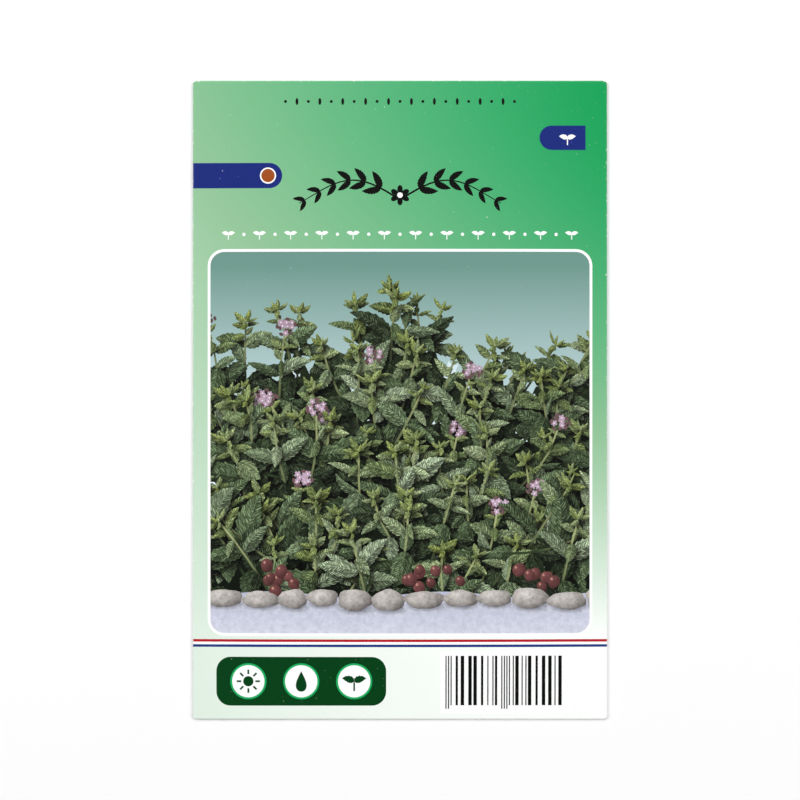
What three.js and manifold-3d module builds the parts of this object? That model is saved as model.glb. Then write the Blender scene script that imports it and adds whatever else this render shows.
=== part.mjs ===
// A sealed seed packet lying on its back: one folded sheet of printed paper, its three glue lines,
// the heat-sealed sachet inside it and the heap of seeds in the sachet.
// Millimetres, +Z up, +Y towards the top of the printed front, origin under the middle of the packet.
import * as THREE from "three";
import { mergeVertices } from "three/addons/utils/BufferGeometryUtils.js";
import Module from "manifold-3d";

const wasm = await Module();
wasm.setup();

// Driving dimensions of the envelope
const WIDTH = 105;
const HEIGHT = 162;
const PAPER = 0.15;
const GLUE_GAP = 0.1; // between two glued layers of paper
const EDGE_RISE = 0.8; // height of the front sheet's middle along its four folds
const PILLOW_RISE = 1.3; // how far the contents lift the front's middle above its folds
const LAP_WIDTH = 12; // overlap of the two back panels, along the packet's middle
const LAP_RAMP = 4; // the run over which the inner lap climbs onto the outer one
const BOTTOM_FLAP = 16;
const TOP_FLAP = 22;
const FLAP_RELIEF = 0.8; // how far a flap is cut back from the side folds
const PANEL_RELIEF = 0.3; // how far a back panel is cut back from the end folds
const FLAP_TAPER = 0.9; // a flap's free edge over its folded edge

// Driving dimensions of the sachet and the seeds
const FOIL = 0.08;
const SACHET_WIDTH = 78;
const SACHET_HEIGHT = 112;
const SACHET_Y = -12; // the sachet has slid towards the packet's lower end
const SEAL = 7;
const SACHET_RISE = 0.55; // how far the air in the sachet lifts its upper web
const CLEARANCE = 0.05; // between pieces that touch
const HEAP_Y = -34;
const HEAP_WIDTH = 46;
const HEAP_HEIGHT = 34;
const HEAP_RISE = 0.6;
const HEAP_COVER = 0.9; // how far the heap lifts the foil over it
const HEAP_SHOWN = 0.5; // how far it lifts the stiffer paper
const SEED_LENGTH = 0.9;
const SEED_WIDTH = 0.62;
const SEED_COUNT = 220;

// Heights of the middle of each layer of paper, and the fold radii that they leave
const flapLevel = PAPER / 2;
const outerLevel = flapLevel + PAPER + GLUE_GAP;
const innerLevel = outerLevel + PAPER + GLUE_GAP;
const sideRadius = (EDGE_RISE - outerLevel) / 2;
const endRadius = (EDGE_RISE - flapLevel) / 2;
const frontX = WIDTH / 2 - PAPER / 2 - sideRadius;
const frontY = HEIGHT / 2 - PAPER / 2 - endRadius;
const sideTurn = Math.PI * sideRadius;
const endTurn = Math.PI * endRadius;
const flapX = frontX - FLAP_RELIEF;
const panelY = frontY - PANEL_RELIEF;
const foilFloor = innerLevel + PAPER / 2 + CLEARANCE;
const heapFloor = foilFloor + FOIL + CLEARANCE / 2;

const GREEN = 0x58b878;
const FOIL_GREY = 0xb9bdc1;
const GLUE_AMBER = 0xe6dfc4;
const SEED_BROWN = 0x4a2f1c;

// The number t taken smoothly from 0 at 0 to 1 at 1
function smooth(t) {
  const c = Math.min(1, Math.max(0, t));
  return c * c * (3 - 2 * c);
}

// Values from a to b, both included, in equal steps
function steps(a, b, count) {
  return Array.from({ length: count + 1 }, (_, i) => a + ((b - a) * i) / count);
}

// 1 over the middle of the sachet, 0 along the edges of a panel from (-halfX, lowY) to (halfX, highY)
function pillow(x, y, halfX, lowY, highY) {
  const reach = y > SACHET_Y ? highY - SACHET_Y : SACHET_Y - lowY;
  const across = Math.max(0, 1 - Math.abs(x / halfX) ** 2.4);
  const along = Math.max(0, 1 - Math.abs((y - SACHET_Y) / reach) ** 3.2);
  return across * along;
}

// 1 over the middle of the heap of seeds, falling to 0 well outside it
function overHeap(x, y) {
  return Math.exp(-((x / HEAP_WIDTH) ** 2 + ((y - HEAP_Y) / HEAP_HEIGHT) ** 2) * 2.2);
}

function frontHeight(x, y) {
  const lift = PILLOW_RISE + HEAP_SHOWN * overHeap(x, y);
  return EDGE_RISE + lift * pillow(x, y, frontX, -frontY, frontY);
}

// Where a point (u, v) of the flat blank lies once the blank is folded. The front panel is the
// middle of the blank, u carries on round the side folds and v round the end folds.
function foldedBlank(u, v) {
  const overSide = Math.abs(u) - frontX;
  const overEnd = Math.abs(v) - frontY;
  if (overEnd > 0) {
    const side = Math.sign(v);
    if (overEnd < endTurn) {
      const turn = overEnd / endRadius;
      const middle = flapLevel + endRadius;
      return [u, side * (frontY + endRadius * Math.sin(turn)), middle + endRadius * Math.cos(turn)];
    }
    const reach = overEnd - endTurn;
    const depth = side > 0 ? TOP_FLAP : BOTTOM_FLAP;
    const narrowing = 1 - ((1 - FLAP_TAPER) * reach) / depth;
    return [u * narrowing, side * (frontY - reach), flapLevel];
  }
  if (overSide > 0) {
    const side = Math.sign(u);
    if (overSide < sideTurn) {
      const turn = overSide / sideRadius;
      const middle = outerLevel + sideRadius;
      return [side * (frontX + sideRadius * Math.sin(turn)), v, middle + sideRadius * Math.cos(turn)];
    }
    const x = side * (frontX - (overSide - sideTurn));
    const climb = side > 0 ? smooth((LAP_WIDTH / 2 + LAP_RAMP - x) / (LAP_RAMP - 0.5)) : 0;
    return [x, v, outerLevel + climb * (innerLevel - outerLevel)];
  }
  return [u, v, frontHeight(u, v)];
}

// A closed solid of even thickness round the surface that place(u, v) gives, over the cells of
// the grid of columns and rows that are in the sheet
function sheet(columns, rows, thickness, place, inSheet = () => true) {
  const nudge = 1e-3;
  const positions = [];
  const corners = new Map();
  const faces = [];

  function cornerPair(i, j) {
    const key = i * rows.length + j;
    if (!corners.has(key)) {
      const u = columns[i];
      const v = rows[j];
      const middle = new THREE.Vector3(...place(u, v));
      const alongU = new THREE.Vector3(...place(u + nudge, v)).sub(new THREE.Vector3(...place(u - nudge, v)));
      const alongV = new THREE.Vector3(...place(u, v + nudge)).sub(new THREE.Vector3(...place(u, v - nudge)));
      const normal = alongU.cross(alongV).normalize();
      corners.set(key, positions.length / 3);
      positions.push(...middle.clone().addScaledVector(normal, thickness / 2));
      positions.push(...middle.clone().addScaledVector(normal, -thickness / 2));
    }
    return corners.get(key);
  }

  function present(i, j) {
    const inside = i >= 0 && j >= 0 && i < columns.length - 1 && j < rows.length - 1;
    return inside && inSheet((columns[i] + columns[i + 1]) / 2, (rows[j] + rows[j + 1]) / 2);
  }

  // An edge of the sheet from corner pair a to b, with the sheet on its left
  function rim(a, b) {
    faces.push(a, a + 1, b + 1, a, b + 1, b);
  }

  for (let i = 0; i < columns.length - 1; i++) {
    for (let j = 0; j < rows.length - 1; j++) {
      if (!present(i, j)) continue;
      const a = cornerPair(i, j);
      const b = cornerPair(i + 1, j);
      const c = cornerPair(i + 1, j + 1);
      const d = cornerPair(i, j + 1);
      faces.push(a, b, c, a, c, d);
      faces.push(a + 1, c + 1, b + 1, a + 1, d + 1, c + 1);
      if (!present(i, j - 1)) rim(a, b);
      if (!present(i + 1, j)) rim(b, c);
      if (!present(i, j + 1)) rim(c, d);
      if (!present(i - 1, j)) rim(d, a);
    }
  }
  const geometry = new THREE.BufferGeometry();
  geometry.setAttribute("position", new THREE.Float32BufferAttribute(positions, 3));
  geometry.setIndex(faces);
  return geometry;
}

function piece(name, geometry, color, roughness, metalness = 0) {
  geometry.computeVertexNormals();
  const material = new THREE.MeshStandardMaterial({ color, roughness, metalness });
  const mesh = new THREE.Mesh(geometry, material);
  mesh.name = name;
  return mesh;
}

// The folded sheet of paper: front, two side folds, two back panels that lap, and two end flaps
function envelope() {
  const foldSteps = 5;
  const lapEnd = 2 * frontX + sideTurn + LAP_WIDTH / 2;
  const rampFrom = 2 * frontX + sideTurn - LAP_WIDTH / 2 - LAP_RAMP;
  const rampTo = rampFrom + LAP_RAMP - 0.5;
  const outerPanel = [-lapEnd, -(frontX + sideTurn + frontX / 2)];
  const columns = [
    ...outerPanel,
    ...steps(-(frontX + sideTurn), -frontX, foldSteps),
    ...steps(-flapX, flapX, 18),
    ...steps(frontX, frontX + sideTurn, foldSteps),
    ...steps(rampFrom, rampTo, 4),
    lapEnd,
  ];
  const rows = [
    -(frontY + endTurn + BOTTOM_FLAP),
    ...steps(-(frontY + endTurn), -frontY, foldSteps),
    ...steps(-panelY, panelY, 26),
    ...steps(frontY, frontY + endTurn, foldSteps),
    frontY + endTurn + TOP_FLAP,
  ];
  const inBlank = (u, v) => {
    const onPanel = Math.abs(u) < frontX || Math.abs(v) < panelY;
    const onFlap = Math.abs(v) < frontY || Math.abs(u) < flapX;
    return onPanel && onFlap;
  };
  return piece("envelope", sheet(columns, rows, PAPER, foldedBlank, inBlank), GREEN, 0.45);
}

// A flat strip of dried glue with round ends, centred at (x, y), its middle at height z
function glueLine(name, width, height, x, y, z) {
  const radius = Math.min(width, height) / 2;
  const straightX = width / 2 - radius;
  const straightY = height / 2 - radius;
  const outline = new THREE.Shape();
  outline.absarc(straightX, straightY, radius, 0, Math.PI / 2);
  outline.absarc(-straightX, straightY, radius, Math.PI / 2, Math.PI);
  outline.absarc(-straightX, -straightY, radius, Math.PI, Math.PI * 1.5);
  outline.absarc(straightX, -straightY, radius, Math.PI * 1.5, Math.PI * 2);
  const depth = GLUE_GAP - 0.04;
  const made = new THREE.ExtrudeGeometry(outline, { depth, bevelEnabled: false, curveSegments: 6 });
  made.deleteAttribute("normal");
  made.deleteAttribute("uv");
  const mesh = piece(name, mergeVertices(made, 1e-4), GLUE_AMBER, 0.3);
  mesh.position.set(x, y, z - depth / 2);
  return mesh;
}

function glueLines() {
  const seamLevel = (outerLevel + innerLevel) / 2;
  const underFlap = (flapLevel + outerLevel) / 2;
  const bottomY = -frontY + BOTTOM_FLAP / 2;
  const topY = frontY - TOP_FLAP / 2;
  return [
    glueLine("glue_back_seam", 7, HEIGHT - 16, 0, 0, seamLevel),
    glueLine("glue_bottom_flap", 84, 7, 0, bottomY, underFlap),
    glueLine("glue_top_flap", 84, 8, 0, topY, underFlap),
  ];
}

// The middle of the sachet's upper web: flat in the seal, lifted by air and seeds inside it
function upperWeb(x, y) {
  const halfY = SACHET_HEIGHT / 2 - SEAL;
  const inside = pillow(x, y, SACHET_WIDTH / 2 - SEAL, SACHET_Y - halfY, SACHET_Y + halfY);
  const sealed = foilFloor + FOIL * 1.5 + CLEARANCE / 2;
  const lift = SACHET_RISE + HEAP_COVER * overHeap(x, y);
  return [x, y, sealed + inside ** 0.7 * lift];
}

function lowerWeb(x, y) {
  return [x, y, foilFloor + FOIL / 2];
}

function sachet() {
  const halfX = SACHET_WIDTH / 2;
  const halfY = SACHET_HEIGHT / 2;
  const columns = [-halfX, ...steps(-halfX + SEAL, halfX - SEAL, 14), halfX];
  const rows = [-halfY, ...steps(-halfY + SEAL, halfY - SEAL, 20), halfY].map((y) => y + SACHET_Y);
  const flatColumns = [-halfX, halfX];
  const flatRows = [SACHET_Y - halfY, SACHET_Y + halfY];
  return [
    piece("sachet_lower_web", sheet(flatColumns, flatRows, FOIL, lowerWeb), FOIL_GREY, 0.35, 0.8),
    piece("sachet_upper_web", sheet(columns, rows, FOIL, upperWeb), FOIL_GREY, 0.35, 0.8),
  ];
}

// A closed geometry as a solid that can be joined and cut
function solid(geometry) {
  geometry.deleteAttribute("normal");
  geometry.deleteAttribute("uv");
  const closed = mergeVertices(geometry, 1e-5);
  const vertProperties = closed.getAttribute("position").array;
  const triVerts = new Uint32Array(closed.getIndex().array);
  return new wasm.Manifold(new wasm.Mesh({ numProp: 3, vertProperties, triVerts }));
}

function fromSolid(made) {
  const { numProp, vertProperties, triVerts } = made.getMesh();
  const geometry = new THREE.BufferGeometry();
  const packed = new THREE.InterleavedBuffer(vertProperties, numProp);
  geometry.setAttribute("position", new THREE.InterleavedBufferAttribute(packed, 3, 0));
  geometry.setIndex(new THREE.BufferAttribute(triVerts, 1));
  return geometry.toNonIndexed();
}

// A repeatable stream of numbers from 0 to 1
function randomStream(seed) {
  let state = seed;
  return () => {
    state = (Math.imul(state, 1664525) + 1013904223) >>> 0;
    return state / 2 ** 32;
  };
}

// The height of the heap's own surface at a share of its radius
function heapSurface(share) {
  return HEAP_RISE * Math.sqrt(Math.max(0, 1 - share ** 2.5));
}

// A low heap with the seeds standing out of it, flat underneath where it lies on the foil
function seeds() {
  const profile = [new THREE.Vector2(0, -0.2), new THREE.Vector2(0.5, -0.2)];
  for (const share of [1, 0.94, 0.8, 0.55, 0.3]) {
    profile.push(new THREE.Vector2(share / 2, heapSurface(share)));
  }
  profile.push(new THREE.Vector2(0, HEAP_RISE));
  const core = new THREE.LatheGeometry(profile, 26);
  core.rotateX(Math.PI / 2);
  core.scale(HEAP_WIDTH, HEAP_HEIGHT, 1);
  let heap = solid(core);

  const random = randomStream(11);
  const goldenAngle = Math.PI * (3 - Math.sqrt(5));
  for (let i = 0; i < SEED_COUNT; i++) {
    const share = Math.sqrt((i + 0.5) / SEED_COUNT);
    const angle = i * goldenAngle + random() * 0.3;
    const seed = new THREE.OctahedronGeometry(0.5, 0);
    seed.scale(SEED_LENGTH, SEED_WIDTH, SEED_WIDTH);
    seed.rotateY((random() - 0.5) * 0.5);
    seed.rotateZ(random() * Math.PI);
    const x = (Math.cos(angle) * share * HEAP_WIDTH) / 2;
    const y = (Math.sin(angle) * share * HEAP_HEIGHT) / 2;
    seed.translate(x, y, heapSurface(share) + 0.05);
    heap = heap.add(solid(seed));
  }
  const below = new THREE.BoxGeometry(HEAP_WIDTH * 2, HEAP_HEIGHT * 2, 4);
  below.translate(0, 0, -2);
  heap = heap.subtract(solid(below));
  const mesh = piece("seeds", fromSolid(heap), SEED_BROWN, 0.6);
  mesh.position.set(0, HEAP_Y, heapFloor);
  return mesh;
}

const packet = new THREE.Group();
packet.add(envelope(), ...glueLines(), ...sachet(), seeds());

export default packet;
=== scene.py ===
from itertools import chain
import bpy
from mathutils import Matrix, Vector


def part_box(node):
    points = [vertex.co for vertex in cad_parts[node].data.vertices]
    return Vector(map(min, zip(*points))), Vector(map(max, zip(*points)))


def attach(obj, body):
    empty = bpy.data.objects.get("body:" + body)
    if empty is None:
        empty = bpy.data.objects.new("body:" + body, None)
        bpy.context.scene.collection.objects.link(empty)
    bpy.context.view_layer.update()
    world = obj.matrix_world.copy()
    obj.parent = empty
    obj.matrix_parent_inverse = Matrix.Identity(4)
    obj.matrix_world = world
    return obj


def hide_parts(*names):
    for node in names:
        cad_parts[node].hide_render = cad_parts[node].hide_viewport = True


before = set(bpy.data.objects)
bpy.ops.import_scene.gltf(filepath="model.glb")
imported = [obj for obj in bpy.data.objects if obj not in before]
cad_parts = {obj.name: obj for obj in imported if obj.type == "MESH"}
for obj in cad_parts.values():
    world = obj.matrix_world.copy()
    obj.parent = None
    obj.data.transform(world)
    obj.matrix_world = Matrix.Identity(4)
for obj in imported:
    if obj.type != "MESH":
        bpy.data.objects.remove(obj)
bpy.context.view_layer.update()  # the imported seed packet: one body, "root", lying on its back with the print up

from types import SimpleNamespace

import bpy
import numpy as np
from bpy.props import FloatProperty, FloatVectorProperty, IntProperty, PointerProperty
from bpy.types import Operator, Panel, PropertyGroup
from mathutils import Vector
from mathutils.bvhtree import BVHTree
from mathutils.geometry import delaunay_2d_cdt

bl_info = {
    "name": "Seed packet",
    "version": (1, 0, 0),
    "blender": (4, 5, 0),
    "location": "3D View > Sidebar > Seed packet",
    "description": "Builds a sealed and printed seed packet, its glue, its sachet and its seeds",
    "category": "Add Mesh",
}

BODY = "root"
MM = 0.001
PACKET_LOW, PACKET_HIGH = (np.array(corner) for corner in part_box("envelope"))
SACHET_LOW, SACHET_HIGH = (np.array(corner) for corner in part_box("sachet_lower_web"))
HEAP_LOW, HEAP_HIGH = (np.array(corner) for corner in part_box("seeds"))
PACKET_WIDTH, PACKET_HEIGHT = (PACKET_HIGH - PACKET_LOW)[:2] / MM

# What the folded sheet and its contents share, in millimetres
FLAP_RELIEF = 0.8
PANEL_RELIEF = 0.3
FLAP_TAPER = 0.9
RAMP_END = 0.5
SACHET_MIDDLE = (SACHET_LOW + SACHET_HIGH)[1] / 2 / MM
SACHET_HALF = (SACHET_HIGH - SACHET_LOW)[:2] / 2 / MM
SACHET_STEP = 0.05
SACHET_STEP_RUN = 1.6
HEAP_MIDDLE = (HEAP_LOW + HEAP_HIGH)[1] / 2 / MM
HEAP_SPREAD = (46, 34)


# Settings that a user would change

def srgb(code):
    """The linear colour of a web colour such as 0x57B476."""
    parts = [(code >> shift & 255) / 255 for shift in (16, 8, 0)]
    return [p / 12.92 if p <= 0.04045 else ((p + 0.055) / 1.055) ** 2.4 for p in parts]


def size_property(name, description, default):
    """A length in metres, its default given in millimetres."""
    return FloatProperty(
        name=name, description=description, default=default * MM, min=0, precision=5,
        subtype="DISTANCE", unit="LENGTH",
    )


def colour_property(name, description, code):
    """A linear colour, its default given as a web colour."""
    return FloatVectorProperty(
        name=name, description=description, default=srgb(code), min=0, max=1, size=3, subtype="COLOR",
    )


class PacketSizes(PropertyGroup):
    """Driving sizes of the folded paper."""

    width: size_property("Width", "Across the printed front", PACKET_WIDTH)
    height: size_property("Height", "Along the printed front", PACKET_HEIGHT)
    paper: size_property("Paper", "Thickness of the coated paper", 0.15)
    glue_gap: size_property("Glue gap", "Between two glued layers of paper", 0.1)
    edge_rise: size_property("Edge rise", "Height of the front sheet along its folds", 0.8)
    pillow_rise: size_property("Pillow rise", "How far the contents lift the front", 1.3)
    heap_shown: size_property("Heap shown", "How far the seeds lift the front", 0.5)
    lap_width: size_property("Lap width", "Overlap of the two back panels", 12)
    lap_ramp: size_property("Lap ramp", "Run over which the inner lap climbs", 4)
    bottom_flap: size_property("Bottom flap", "Depth of the bottom flap", 16)
    top_flap: size_property("Top flap", "Depth of the top flap", 22)
    waviness: size_property("Waviness", "Height of the slow waves in the paper", 0.05)


class PrintColours(PropertyGroup):
    """Inks of the printed outside."""

    ground_deep: colour_property("Ground deep", "Green at the top right", 0x149D56)
    ground_mid: colour_property("Ground mid", "Green half way down the fade", 0x90C096)
    ground_pale: colour_property("Ground pale", "End of the fade", 0xFBFEFB)
    back_ground: colour_property("Back", "Ground of the back panels", 0xEAF3E6)
    sky_high: colour_property("Sky high", "Top of the picture's backdrop", 0x6C958A)
    sky_low: colour_property("Sky low", "Foot of the backdrop", 0xCCE0E6)
    path_far: colour_property("Path far", "Garden path behind the stones", 0xA9AEC4)
    path_near: colour_property("Path near", "Garden path at the picture's foot", 0xD3D5E4)
    hedge: colour_property("Hedge", "Deep shade inside the herb bed", 0x0C120B)
    leaf_dark: colour_property("Leaf dark", "Leaves at the back", 0x303F27)
    leaf_mid: colour_property("Leaf mid", "Leaves in half light", 0x5F7350)
    leaf_light: colour_property("Leaf light", "Leaves in full light", 0x95A587)
    leaf_young: colour_property("Leaf young", "Young leaves at the tips", 0x93A04E)
    stem: colour_property("Stem", "Herb stems", 0xB4BC84)
    blossom: colour_property("Blossom", "Small lilac flowers", 0xC4AABF)
    blossom_heart: colour_property("Blossom heart", "Middle of a flower", 0xF3E6EC)
    bud: colour_property("Bud", "Closed flowers", 0x75585C)
    berry: colour_property("Berry", "Fruit at the foot of the bed", 0x6E4242)
    berry_light: colour_property("Berry light", "Light on the fruit", 0xC79585)
    stone: colour_property("Stone", "Edging stones", 0x9A908D)
    stone_light: colour_property("Stone light", "Light on the edging stones", 0xD6D1CB)
    tag: colour_property("Tag", "The two plain tags", 0x1A2A78)
    tag_dot: colour_property("Tag dot", "Dot on one of the tags", 0x9C480A)
    plaque: colour_property("Plaque", "Dark green plaque", 0x003E16)
    plaque_bright: colour_property("Plaque bright", "Rounds on the plaque", 0x19AA5E)
    rule_red: colour_property("Rule red", "Red line of the rule", 0xB81C2A)
    rule_blue: colour_property("Rule blue", "Blue line of the rule", 0x233A80)
    ink: colour_property("Ink", "Darkest ink", 0x060906)
    white: colour_property("White", "Paper left white", 0xFDFEFD)


class ContentsSettings(PropertyGroup):
    """The sachet, the glue and the seeds."""

    foil: size_property("Foil", "Thickness of one web of the sachet", 0.08)
    seal: size_property("Seal", "Width of the sachet's sealed rim", 7)
    sachet_rise: size_property("Sachet rise", "How far air lifts the upper web", 0.55)
    heap_cover: size_property("Heap cover", "How far the seeds lift the upper web", 0.9)
    seed_length: size_property("Seed length", "Length of one seed", 0.88)
    seed_width: size_property("Seed width", "Width of one seed", 0.6)
    seed: IntProperty(name="Random seed", description="Start of every random draw", default=5, min=0)
    foil_colour: colour_property("Foil", "Foil of the sachet", 0xC4C7CA)
    glue_colour: colour_property("Glue", "Dried glue", 0xE6DFC4)
    seed_colour: colour_property("Seeds", "Seed coat", 0x4A2F1C)
    paper_colour: colour_property("Bare paper", "Unprinted inside and cut edges", 0xF4F2EC)


class StageSettings(PropertyGroup):
    """Floor, light and camera."""

    floor_colour: colour_property("Floor", "Plain pale floor", 0xF8F8F8)
    frame_side: size_property("View side", "Side of the square seen at the packet's edges", 202.7)
    lens: FloatProperty(name="Lens", description="Focal length in millimetres", default=85, min=1)
    light_power: FloatProperty(
        name="Light", description="Power of the left soft box", default=12.0, min=0, unit="POWER")
    sky_light: FloatProperty(
        name="Room light", description="Strength of the even light", default=0.11, min=0)


# Folding the flat sheet

def fold_plan(sizes):
    """The driving sizes in millimetres, with the levels, radii and reaches that follow from them."""
    plan = SimpleNamespace(**{name: getattr(sizes, name) / MM for name in PacketSizes.__annotations__})
    step = plan.paper + plan.glue_gap
    plan.flap_level = plan.paper / 2
    plan.outer_level = plan.flap_level + step
    plan.inner_level = plan.outer_level + step
    plan.side_radius = (plan.edge_rise - plan.outer_level) / 2
    plan.end_radius = (plan.edge_rise - plan.flap_level) / 2
    plan.front_x = plan.width / 2 - plan.paper / 2 - plan.side_radius
    plan.front_y = plan.height / 2 - plan.paper / 2 - plan.end_radius
    plan.side_turn = np.pi * plan.side_radius
    plan.end_turn = np.pi * plan.end_radius
    plan.flap_x = plan.front_x - FLAP_RELIEF
    plan.panel_y = plan.front_y - PANEL_RELIEF
    plan.side_end = plan.front_x + plan.side_turn
    plan.end_end = plan.front_y + plan.end_turn
    plan.lap_half = plan.lap_width / 2
    plan.lap_end = plan.side_end + plan.front_x + plan.lap_half
    return plan


def smooth(t):
    """t taken from 0 to 1 along 3t^2 - 2t^3, and level outside."""
    t = np.clip(t, 0, 1)
    return t * t * (3 - 2 * t)


def pillow(x, y, half_x, low_y, high_y):
    """1 over the sachet's middle, 0 along a panel's edges: (1 - |x|^2.4)(1 - |y|^3.2) on shares of the
    reach."""
    reach = np.where(y > SACHET_MIDDLE, high_y - SACHET_MIDDLE, SACHET_MIDDLE - low_y)
    across = np.clip(1 - np.abs(x / half_x) ** 2.4, 0, None)
    along = np.clip(1 - np.abs((y - SACHET_MIDDLE) / reach) ** 3.2, 0, None)
    return across * along


def over_heap(x, y):
    """A bell over the heap of seeds: exp(-2.2 r^2), with r a share of the heap's spread."""
    return np.exp(-2.2 * ((x / HEAP_SPREAD[0]) ** 2 + ((y - HEAP_MIDDLE) / HEAP_SPREAD[1]) ** 2))


def slow_waves(x, y, draw_start, count=9, longest=70, shortest=18):
    """A sum of sine waves of random direction and phase, each with a height in proportion to its
    length, brought to about +-1."""
    rng = np.random.default_rng(draw_start)
    usual_height = 2.2
    total = np.zeros_like(x, dtype=float)
    for wave in np.geomspace(longest, shortest, count):
        turn, phase = rng.uniform(0, np.pi), rng.uniform(0, 2 * np.pi)
        way = (x * np.cos(turn) + y * np.sin(turn)) * 2 * np.pi / wave
        total += np.sin(way + phase) * wave / longest
    return total / usual_height


def sachet_edge(x, y):
    """A soft step along the sachet's outline, where the paper is drawn over it."""
    inside_x = (SACHET_HALF[0] - np.abs(x)) / SACHET_STEP_RUN
    inside_y = (SACHET_HALF[1] - np.abs(y - SACHET_MIDDLE)) / SACHET_STEP_RUN
    return smooth(inside_x / 2 + 0.5) * smooth(inside_y / 2 + 0.5)


def front_height(plan, x, y):
    """Height of the front sheet's middle: the edge, the pillow over the contents, the step over the
    sachet's rim and slow waves that die out along the folds."""
    raised = pillow(x, y, plan.front_x, -plan.front_y, plan.front_y)
    lift = plan.pillow_rise + plan.heap_shown * over_heap(x, y)
    calm = np.clip(raised * 3, 0, 1)
    waves = plan.waviness * slow_waves(x, y, 3) * calm
    return plan.edge_rise + lift * raised + waves + SACHET_STEP * sachet_edge(x, y) * calm


def folded(plan, u, v):
    """Place of point (u, v) of the flat sheet once it is folded, in millimetres. The front is the
    middle of the sheet. Past its edges u runs round a half circle onto the back panels, and v round
    a half circle onto the flaps."""
    over_side = np.abs(u) - plan.front_x
    over_end = np.abs(v) - plan.front_y
    side, end = np.sign(u), np.sign(v)

    side_angle = np.clip(over_side, 0, plan.side_turn) / plan.side_radius
    back = np.clip(over_side - plan.side_turn, 0, None)
    side_x = side * (plan.front_x + plan.side_radius * np.sin(side_angle) - back)
    side_z = plan.outer_level + plan.side_radius * (1 + np.cos(side_angle))
    climb = smooth((plan.lap_half + plan.lap_ramp - side_x) / (plan.lap_ramp - RAMP_END))
    side_z += np.where((side > 0) & (back > 0), climb * (plan.inner_level - plan.outer_level), 0)

    end_angle = np.clip(over_end, 0, plan.end_turn) / plan.end_radius
    reach = np.clip(over_end - plan.end_turn, 0, None)
    depth = np.where(end > 0, plan.top_flap, plan.bottom_flap)
    end_y = end * (plan.front_y + plan.end_radius * np.sin(end_angle) - reach)
    end_z = plan.flap_level + plan.end_radius * (1 + np.cos(end_angle))
    end_x = u * (1 - (1 - FLAP_TAPER) * reach / depth)

    at_end, at_side = over_end > 0, over_side > 0
    x = np.where(at_end, end_x, np.where(at_side, side_x, u))
    y = np.where(at_end, end_y, v)
    z = np.where(at_end, end_z, np.where(at_side, side_z, front_height(plan, u, v)))
    return np.stack([x, y, z], axis=-1)


def unit_normals(along_u, along_v):
    """Unit vectors square to two directions on a surface."""
    normals = np.cross(along_u, along_v)
    return normals / np.linalg.norm(normals, axis=-1, keepdims=True)


def fold_normals(plan, u, v, nudge=0.02):
    """Unit normals of the folded sheet's printed side, from differences along u and v."""
    along_u = folded(plan, u + nudge, v) - folded(plan, u - nudge, v)
    along_v = folded(plan, u, v + nudge) - folded(plan, u, v - nudge)
    return unit_normals(along_u, along_v)


# Flat outlines, in millimetres

CORNER_POINTS = 9


def full_turn(count):
    """count angles at even steps round a circle, from 0."""
    return np.linspace(0, 2 * np.pi, count, endpoint=False)


def arc(x, y, rx, ry, t):
    """The points at the angles t of an ellipse about (x, y). rx and ry may change along it."""
    return np.stack([x + rx * np.cos(t), y + ry * np.sin(t)], -1)


def ellipse(x, y, rx, ry, count, turn=0.0):
    """count points of an ellipse about (x, y), turned by turn."""
    t = full_turn(count)
    px, py = rx * np.cos(t), ry * np.sin(t)
    cos, sin = np.cos(turn), np.sin(turn)
    return np.stack([x + px * cos - py * sin, y + px * sin + py * cos], -1)


def disc(x, y, radius, count):
    """count points of a circle about (x, y)."""
    return ellipse(x, y, radius, radius, count)


def rounded_box(x0, y0, x1, y1, radius):
    """A box from (x0, y0) to (x1, y1) with quarter circles of radius at its corners."""
    t = np.linspace(0, np.pi / 2, CORNER_POINTS)
    left, right, low, high = x0 + radius, x1 - radius, y0 + radius, y1 - radius
    middles = ((right, high), (left, high), (left, low), (right, low))
    return np.vstack([arc(*middle, radius, radius, t + k * np.pi / 2) for k, middle in enumerate(middles)])


def box(x0, y0, x1, y1):
    """The corners of a box from (x0, y0) to (x1, y1), anticlockwise."""
    return np.array([(x0, y0), (x1, y0), (x1, y1), (x0, y1)], float)


def stroke(path, width, end_width=None):
    """A ribbon along a path, its width going evenly from width to end_width: the path moved to both
    sides."""
    path = np.asarray(path, float)
    along = np.gradient(path, axis=0)
    normals = np.stack([-along[:, 1], along[:, 0]], -1)
    normals /= np.linalg.norm(normals, axis=1, keepdims=True)
    half = np.linspace(width, width if end_width is None else end_width, len(path))[:, None] / 2
    return np.vstack([path + normals * half, (path - normals * half)[::-1]])


def petals(x, y, radius, count=5, turn=0.0, points=20, depth=0.42):
    """A flower outline: r = radius (1 - depth + depth |cos(count t / 2)|)."""
    t = full_turn(points)
    r = radius * (1 - depth + depth * np.abs(np.cos(count * t / 2)))
    return arc(x, y, r, r, t + turn)


def spread(middle, count, pitch):
    """count places that stand pitch apart, about a middle."""
    return middle + (np.arange(count) - (count - 1) / 2) * pitch


def with_close_points(outline, spacing):
    """The same outline with points added, so that no side of it is longer than spacing."""
    after = np.roll(outline, -1, axis=0)
    counts = np.maximum(1, np.ceil(np.linalg.norm(after - outline, axis=1) / spacing)).astype(int)
    first = np.repeat(np.cumsum(counts) - counts, counts)
    share = ((np.arange(counts.sum()) - first) / np.repeat(counts, counts))[:, None]
    return np.repeat(outline, counts, axis=0) * (1 - share) + np.repeat(after, counts, axis=0) * share


# Leaves: a row holds where a leaf starts and how it runs. Left and right are its two half widths

LEAF = np.dtype([(name, float) for name in (
    "x", "y", "angle", "bend", "length", "left", "right", "tone", "youth",
)])
LEAST_BEND = 0.06
NOTCH = 0.84
TOOTH_LEAN = 0.45


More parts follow.
